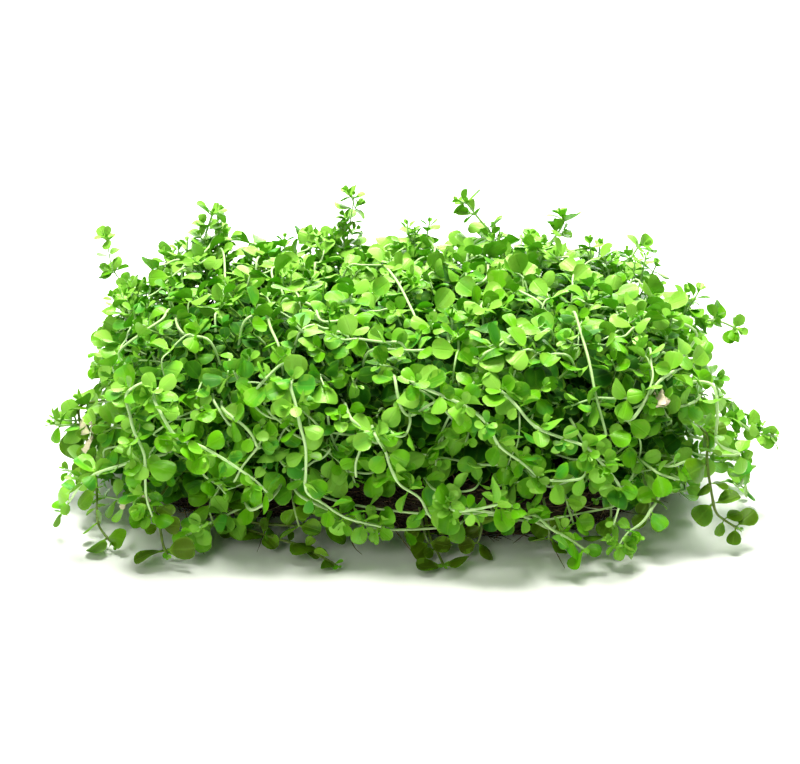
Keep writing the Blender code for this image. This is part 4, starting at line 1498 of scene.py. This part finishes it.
def grow_cushion():
    """All shoots of the cushion, as one skeleton."""
    chance = random.Random(21)
    cushion = Skeleton()
    for point, outward in scatter(SHOOT_COUNT, SHOOT_APART, 7):
        tip = point + outward * chance.uniform(*TIP_OUT)
        tip.z = max(tip.z, 3)
        heading = shoot_heading(chance, outward)
        path = shoot_path(chance, tip, heading, outward)
        thick = STEM_THICK * chance.uniform(0.8, 1.15)
        lime = 0.5 + 0.28 * wander(point, 22, 9) + chance.uniform(-0.15, 0.15)
        cushion.add_stem(path, taper(path, thick, STEM_THIN), chance.uniform(0.2, 0.9), old_and_shaded_to_new(path))
        leafy, vigour = chance.uniform(*LEAFY), chance.uniform(*VIGOUR)
        add_pairs(cushion, chance, path, outward, leafy, vigour, lime, thick)
    return cushion


cushion = grow_cushion()
print("shoots:", len(cushion.stems), "their leaves:", len(cushion.leaves))

# %% Tufts along the top
# Clumps of shoots that stand clear of the outline: place of the highest tip, number of shoots
TUFTS = [((-44, 28, 50), 5), ((-54, 24, 46), 4), ((-30, 26, 46), 2), ((-17, 28, 49), 4), ((3, 28, 50), 5),
         ((20, 28, 48), 2), ((32, 26, 47), 3), ((46, 26, 46), 4), ((56, 22, 44), 3), ((66, 8, 41), 3),
         ((-65, 8, 41), 4), ((-62, -2, 42), 2), ((40, -4, 46), 2), ((-28, 4, 47), 2),
         ((-75, -14, 19), 3), ((-72, -20, 10), 3), ((70, -22, 14), 2), ((-44, -46, 8), 2)]
TUFT_SPREAD = 3.5


def grow_tufts():
    """Shoots of the tufts, each a little lower than the tallest and leaning apart."""
    chance = random.Random(12)
    for place, count in TUFTS:
        for k in range(count):
            shift = Vector((chance.uniform(-1, 1), chance.uniform(-1, 1), 0)) * TUFT_SPREAD
            tip = Vector(place) + shift - UP * k * 1.3
            outward = outward_at(tip)
            heading = (UP * (0.3 + outward.z) + outward * 0.5 + shift * 0.12).normalized()
            path = shoot_path(chance, tip, heading, outward)
            cushion.add_stem(path, taper(path, STEM_THICK, STEM_THIN), 0.6, old_and_shaded_to_new(path))
            add_pairs(cushion, chance, path, outward, 16, 0.95, 0.62, STEM_THICK)


grow_tufts()

# %% Sprigs over the pad and withered leaves
# Old shoots that hang over the pad's front: points from the foot to the tip, and their age
PAD_SPRIGS = [
    ([(-24, -39, 14), (-23, -45, 11), (-22, -46, 7)], 0.7), ([(3, -39, 8), (4, -44, 5), (5, -46, 3)], 0.9),
    ([(15, -40, 9), (16, -45, 6), (15, -46, 3)], 0.95), ([(29, -41, 11), (30, -45, 7), (30, -46, 4)], 0.8),
    ([(33, -41, 14), (34, -46, 11), (35, -47, 8)], 0.5), ([(43, -40, 14), (43, -44, 8), (42, -45, 4)], 0.7),
    ([(50, -38, 15), (51, -43, 12), (51, -44, 8)], 0.8),
    ([(-40, -38, 12), (-41, -42, 9), (-40, -43, 6)], 0.6),
]
SPRIG_LEAF = 4.9
SPRIG_OUTWARD = Vector((0, -1, 0.2))
# Clusters of withered leaves: place and number
WITHERED = [((-69, -22, 19), 4), ((52, -38, 33), 2), ((-58, -39, 13), 2), ((12, 42, 12), 3),
            ((66, 22, 14), 2)]


def grow_sprigs():
    """The sprigs, each with two pairs that face away from the pad."""
    chance = random.Random(14)
    for points, age in PAD_SPRIGS:
        path = finer([Vector(p) for p in points], SHOOT_STEP)
        lengths = lengths_along(path)
        cushion.add_stem(path, taper(path, 0.3, 0.22), 0.5, [age * 0.8] * len(path))
        side = Vector((1, 0, chance.uniform(-0.3, 0.3)))
        for back in (0.3, 4.4):
            at, ahead = point_at(path, lengths, lengths[-1] - back)
            for way in (1, -1):
                add_leaf(cushion, chance, at, ahead, straighten(side, ahead) * way,
                         SPRIG_LEAF * chance.uniform(0.8, 1.08), 66, SPRIG_OUTWARD, age, 0.45, must=True)
            side = turned(side, ahead, 0.9)


def grow_withered():
    """Bleached and crumpled leaves, where the plant shows them."""
    chance = random.Random(15)
    for place, count in WITHERED:
        for k in range(count):
            at = Vector(place) + Vector([chance.uniform(-2, 2) for i in range(3)])
            out = any_across(UP, chance)
            add_leaf(cushion, chance, at, -UP, out, chance.uniform(3.2, 4.6), 60, outward_at(at), 0.3, 0.5,
                     must=True, wilt=chance.uniform(0.55, 0.8))


grow_sprigs()
grow_withered()

# %% Pieces of the cushion
def quarter_of(place):
    """Which of four parts of the cushion a leaf belongs to, so that no piece gets too large."""
    return ("front" if place.y < -14 else "back") + ("_left" if place.x < 0 else "_right")


def bake_cells(mesh, count):
    """A UV map that gives each leaf a cell of its own: its upper side left, its lower side right."""
    side = math.ceil(math.sqrt(count))
    numbers = np.empty(len(mesh.vertices), np.int32)
    along = np.empty(len(mesh.vertices), np.float32)
    across = np.empty(len(mesh.vertices), np.float32)
    for name, column in (("number", numbers), ("along", along), ("across", across)):
        mesh.attributes[name].data.foreach_get("value", column)
    corner_verts = np.empty(len(mesh.loops), np.int32)
    mesh.loops.foreach_get("vertex_index", corner_verts)
    sizes = np.empty(len(mesh.polygons), np.int32)
    mesh.polygons.foreach_get("loop_total", sizes)
    under = np.empty(len(mesh.polygons), np.float32)
    mesh.attributes["underside"].data.foreach_get("value", under)
    order = np.unique(numbers, return_inverse=True)[1][corner_verts]
    u = (np.repeat(under, sizes) + 0.05 + 0.9 * (across[corner_verts] + 1) / 2) / 2
    v = 0.05 + 0.9 * along[corner_verts]
    cells = np.stack(((order % side + u) / side, (order // side + v) / side), axis=1)
    mesh.uv_layers.new(name="OFBake").data.foreach_set("uv", cells.astype(np.float32).ravel())


parts = {}
for leaf in cushion.leaves + stolons.leaves:
    leaf = above_floor(leaf)
    parts.setdefault(quarter_of(leaf["place"]), Skeleton()).leaves.append(leaf)
pieces = []
for part_name in sorted(parts):
    replaced = ["leaf_carpet"] if not pieces else []
    piece = dress("leaf_carpet_" + part_name, parts[part_name], replaced)
    bake_cells(piece.data, len(parts[part_name].leaves))
    pieces.append(piece)
stems_only = Skeleton()
stems_only.stems = cushion.stems + stolons.stems
pieces.append(dress("leaf_carpet_stems", stems_only, sides=5))
print("leaves:", len(cushion.leaves + stolons.leaves), "triangles:", {p.name: triangles(p) for p in pieces})

# %% [markdown]
# ## The pad of roots
# Under the leaves the old roots have matted into a flat dark pad, like felt. It is built in three
# layers: a closed body with a ragged edge, then thousands of root strands that Geometry Nodes lay over
# its side, then the loose hairs that hang from its lower edge.

# %% The pad's body
PAD_SQUARENESS = 2.6
PAD_STEPS = 240
PAD_SIDE = [(0.0, 2.6), (0.8, 1.4), (1.8, 0.9), (2.8, 1.2), (3.8, 0.5), (4.8, 0.9), (5.8, 0.4), (6.8, 0.8),
            (7.8, 0.9), (8.8, 1.4), (9.8, 2.4), (10.8, 4.2)]
# Where the edge has worn away: bearing in degrees, depth, and half-width in degrees
PAD_WORN = [(-120, 13.0, 26), (-25, 2.0, 12), (160, 2.5, 14), (60, 2.0, 12)]
PAD_INSET = -0.8


def pad_radius(bearing):
    """How far the pad's edge is from its middle, in this direction."""
    half_length = (pad_high.x - pad_low.x) / 2 - PAD_INSET
    half_width = (pad_high.y - pad_low.y) / 2 - PAD_INSET
    radius = plan_radius(bearing, half_length, half_width, PAD_SQUARENESS)
    for middle, depth, half_width in PAD_WORN:
        radius -= depth * math.exp(-((turn_between(math.degrees(bearing), middle) / half_width) ** 2))
    return radius


def pad_mesh():
    """A flat underside, a side of ragged layers, and a rounded top."""
    points = []
    for height, inset in PAD_SIDE:
        for i in range(PAD_STEPS):
            bearing = 2 * math.pi * i / PAD_STEPS
            flat = Vector((math.cos(bearing), math.sin(bearing), 0))
            radius = pad_radius(bearing) - inset
            at = flat * radius + UP * height * 3
            radius += 0.8 * wander(at, 7, 5) + 0.5 * wander(at, 2.2, 6) + 0.25 * wander(at, 0.9, 7)
            rise = 0 if height == 0 else 0.35 * wander(at, 1.7, 8)
            points.append(flat * radius + UP * (height + rise))
    faces = [tuple(reversed(range(PAD_STEPS)))]
    for k in range(len(PAD_SIDE) - 1):
        for i in range(PAD_STEPS):
            j = (i + 1) % PAD_STEPS
            a, b = k * PAD_STEPS, (k + 1) * PAD_STEPS
            faces.append((a + i, a + j, b + j, b + i))
    last = (len(PAD_SIDE) - 1) * PAD_STEPS
    faces.append(tuple(range(last, last + PAD_STEPS)))
    mesh = bpy.data.meshes.new("root_pad")
    mesh.from_pydata([p * MM for p in points], [], faces)
    mesh.materials.append(FINISHES["pad"])
    mesh.shade_smooth()
    return mesh


pad = place_piece("root_pad", pad_mesh(), ["root_mat"])
print("pad faces:", len(pad.data.polygons))


# %% Strands over the pad's side
def strand_tree():
    """Scatters short level lines on a surface, bends them at random and sweeps them into strands."""
    tree, given = new_tree("root strands", {
        "Strands": ("NodeSocketFloat", 250000.0),
        "Longest": ("NodeSocketFloat", 0.010),
        "Thickness": ("NodeSocketFloat", 0.00018),
        "Bend": ("NodeSocketFloat", 0.0012),
        "Bend Scale": ("NodeSocketFloat", 260.0),
        "Seed": ("NodeSocketInt", 4),
        "Finish": ("NodeSocketMaterial", None),
    })
    spots = add_node(tree, "GeometryNodeDistributePointsOnFaces", {}, {
        "Mesh": given("Geometry"), "Density": given("Strands"), "Seed": given("Seed")})
    ends = {"Start": (-0.5, 0, 0), "End": (0.5, 0, 0)}
    line = add_node(tree, "GeometryNodeCurvePrimitiveLine", {}, ends)()
    line = add_node(tree, "GeometryNodeResampleCurve", {}, {"Curve": line, "Count": 6})()
    level = add_node(tree, "ShaderNodeVectorMath", {"operation": "CROSS_PRODUCT"},
                     {0: (0.0, 0.0, 1.0), 1: spots("Normal")})()
    stray = add_node(tree, "FunctionNodeRandomValue", {"data_type": "FLOAT_VECTOR"},
                     {"Min": (-0.35, -0.35, -0.45), "Max": (0.35, 0.35, 0.45), "Seed": given("Seed")})()
    way = add_node(tree, "ShaderNodeVectorMath", {"operation": "ADD"}, {0: level, 1: stray})()
    turn = add_node(tree, "FunctionNodeAxesToRotation", {"primary_axis": "X", "secondary_axis": "Z"},
                    {"Primary Axis": way, "Secondary Axis": spots("Normal")})()
    share = add_node(tree, "FunctionNodeRandomValue", {"data_type": "FLOAT"},
                     {"Min_001": 0.25, "Max_001": 1.0, "Seed": given("Seed")})("Value_001")
    tone = add_node(tree, "FunctionNodeRandomValue", {"data_type": "FLOAT"},
                    {"Min_001": 0.0, "Max_001": 0.75, "Seed": given("Seed")})("Value_001")
    spots = add_node(tree, "GeometryNodeStoreNamedAttribute", {"data_type": "FLOAT", "domain": "POINT"},
                     {"Geometry": spots("Points"), "Name": "tone", "Value": tone * tone * tone})()
    lines = add_node(tree, "GeometryNodeInstanceOnPoints", {}, {
        "Points": spots, "Instance": line, "Rotation": turn, "Scale": share * given("Longest")})()
    lines = made_real(tree, lines)
    where = add_node(tree, "GeometryNodeInputPosition")()
    noisy = add_node(tree, "ShaderNodeTexNoise", {},
                     {"Vector": where, "Scale": given("Bend Scale"), "Detail": 1.0})("Color")
    centred = add_node(tree, "ShaderNodeVectorMath", {"operation": "SUBTRACT"},
                       {0: noisy, 1: (0.5, 0.5, 0.5)})()
    shift = add_node(tree, "ShaderNodeVectorMath", {"operation": "SCALE"},
                     {"Vector": centred, "Scale": given("Bend") * 2})()
    lines = add_node(tree, "GeometryNodeSetPosition", {}, {"Geometry": lines, "Offset": shift})()
    ring = add_node(tree, "GeometryNodeCurvePrimitiveCircle", {}, {"Resolution": 3, "Radius": 1.0})()
    tubes = add_node(tree, "GeometryNodeCurveToMesh", {}, {
        "Curve": lines, "Profile Curve": ring, "Fill Caps": True, "Scale": given("Thickness")})()
    tubes = painted(tree, made_real(tree, tubes), given("Finish"))
    add_node(tree, "NodeGroupOutput", {}, {"Geometry": tubes})
    return tree


def pad_side():
    """The pad's side alone, as the surface that the strands lie on."""
    corners = [tuple(p.vertices) for p in pad.data.polygons if len(p.vertices) == 4]
    side = bpy.data.meshes.new("pad_side")
    side.from_pydata([v.co for v in pad.data.vertices], [], corners)
    thing = bpy.data.objects.new("pad_side", side)
    bpy.context.scene.collection.objects.link(thing)
    return thing


STRANDS_A_SQUARE_METRE = 700000.0
STRAND_LOWEST = 0.0002

STRANDS = strand_tree()
surface = pad_side()
strand_mesh = with_tree(surface, STRANDS, {"Strands": STRANDS_A_SQUARE_METRE, "Finish": FINISHES["root"]})
bpy.data.objects.remove(surface)
heights = [v.co.z for v in strand_mesh.vertices]
for v in strand_mesh.vertices:
    v.co.z = max(v.co.z, STRAND_LOWEST)
strands = place_piece("root_strands", strand_mesh)
print("strand triangles:", triangles(strands), "lowest, mm:", round(min(heights) / MM, 2))

# %% Loose root hairs
HAIR_COUNT = 150
HAIR_RADIUS = 0.13
HAIR_STEP = 0.9
HAIR_LOWEST = 0.25
# Hairs that can be told apart in the photograph: points, radius, tone
HAND_HAIRS = [
    ([(-47, -36, 6), (-45, -42, 3), (-42, -46, 0.6)], 0.16, 0.35),
    ([(-29, -37, 5), (-30, -43, 3), (-31, -46, 1.0)], 0.13, 0.1),
    ([(-12, -38, 5), (-11, -44, 2), (-9, -46, 0.5)], 0.16, 0.25),
    ([(-3, -39, 4), (0, -43, 1.6), (2, -46, 0.4)], 0.14, 0.45),
    ([(11, -40, 10), (11, -42, 7), (12, -42, 3)], 0.17, 1.0),
    ([(32, -40, 12), (38, -43, 10), (45, -42, 9)], 0.14, 1.0),
    ([(36, -40, 12), (35, -43, 8), (33, -44, 5)], 0.18, 0.95),
    ([(29, -38, 5), (31, -45, 2), (33, -52, 0.4)], 0.16, 0.3),
]


def grow_hairs():
    """Hairs that hang from the pad's edge and end on the surface, listed one by one and by rule."""
    chance = random.Random(8)
    hairs = Skeleton()
    for points, radius, tone in HAND_HAIRS:
        path = finer([Vector(p) for p in points], HAIR_STEP)
        hairs.add_stem(path, taper(path, radius, radius * 0.35), tone, [0.0] * len(path))
    for k in range(HAIR_COUNT):
        bearing = 2 * math.pi * (k + chance.random()) / HAIR_COUNT
        flat = Vector((math.cos(bearing), math.sin(bearing), 0))
        aside = Vector((-flat.y, flat.x, 0))
        edge = pad_radius(bearing) - 1.5
        high = chance.uniform(0.8, 7)
        reach = chance.uniform(1.5, 7)
        points = [flat * edge + UP * high]
        points.append(flat * (edge + reach * 0.55) + aside * chance.uniform(-1.5, 1.5) + UP * high * 0.7)
        tip = flat * (edge + reach) + aside * chance.uniform(-4, 4)
        points.append(tip + UP * chance.uniform(0.3, high * 0.6))
        path = finer(points, HAIR_STEP)
        for p in path:
            p.z = max(p.z, HAIR_LOWEST)
        radius = HAIR_RADIUS * chance.uniform(0.6, 1.2)
        hairs.add_stem(path, taper(path, radius, radius * 0.3), chance.random() ** 2, [0.0] * len(path))
    return hairs


hairs = dress("root_hairs", grow_hairs(), stem="root", sides=4)
print("hair triangles:", triangles(hairs))

# %% Size and end
size = {"cad": [list(c) for c in cad_box], "visual": [list(c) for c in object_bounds()]}
print(size)
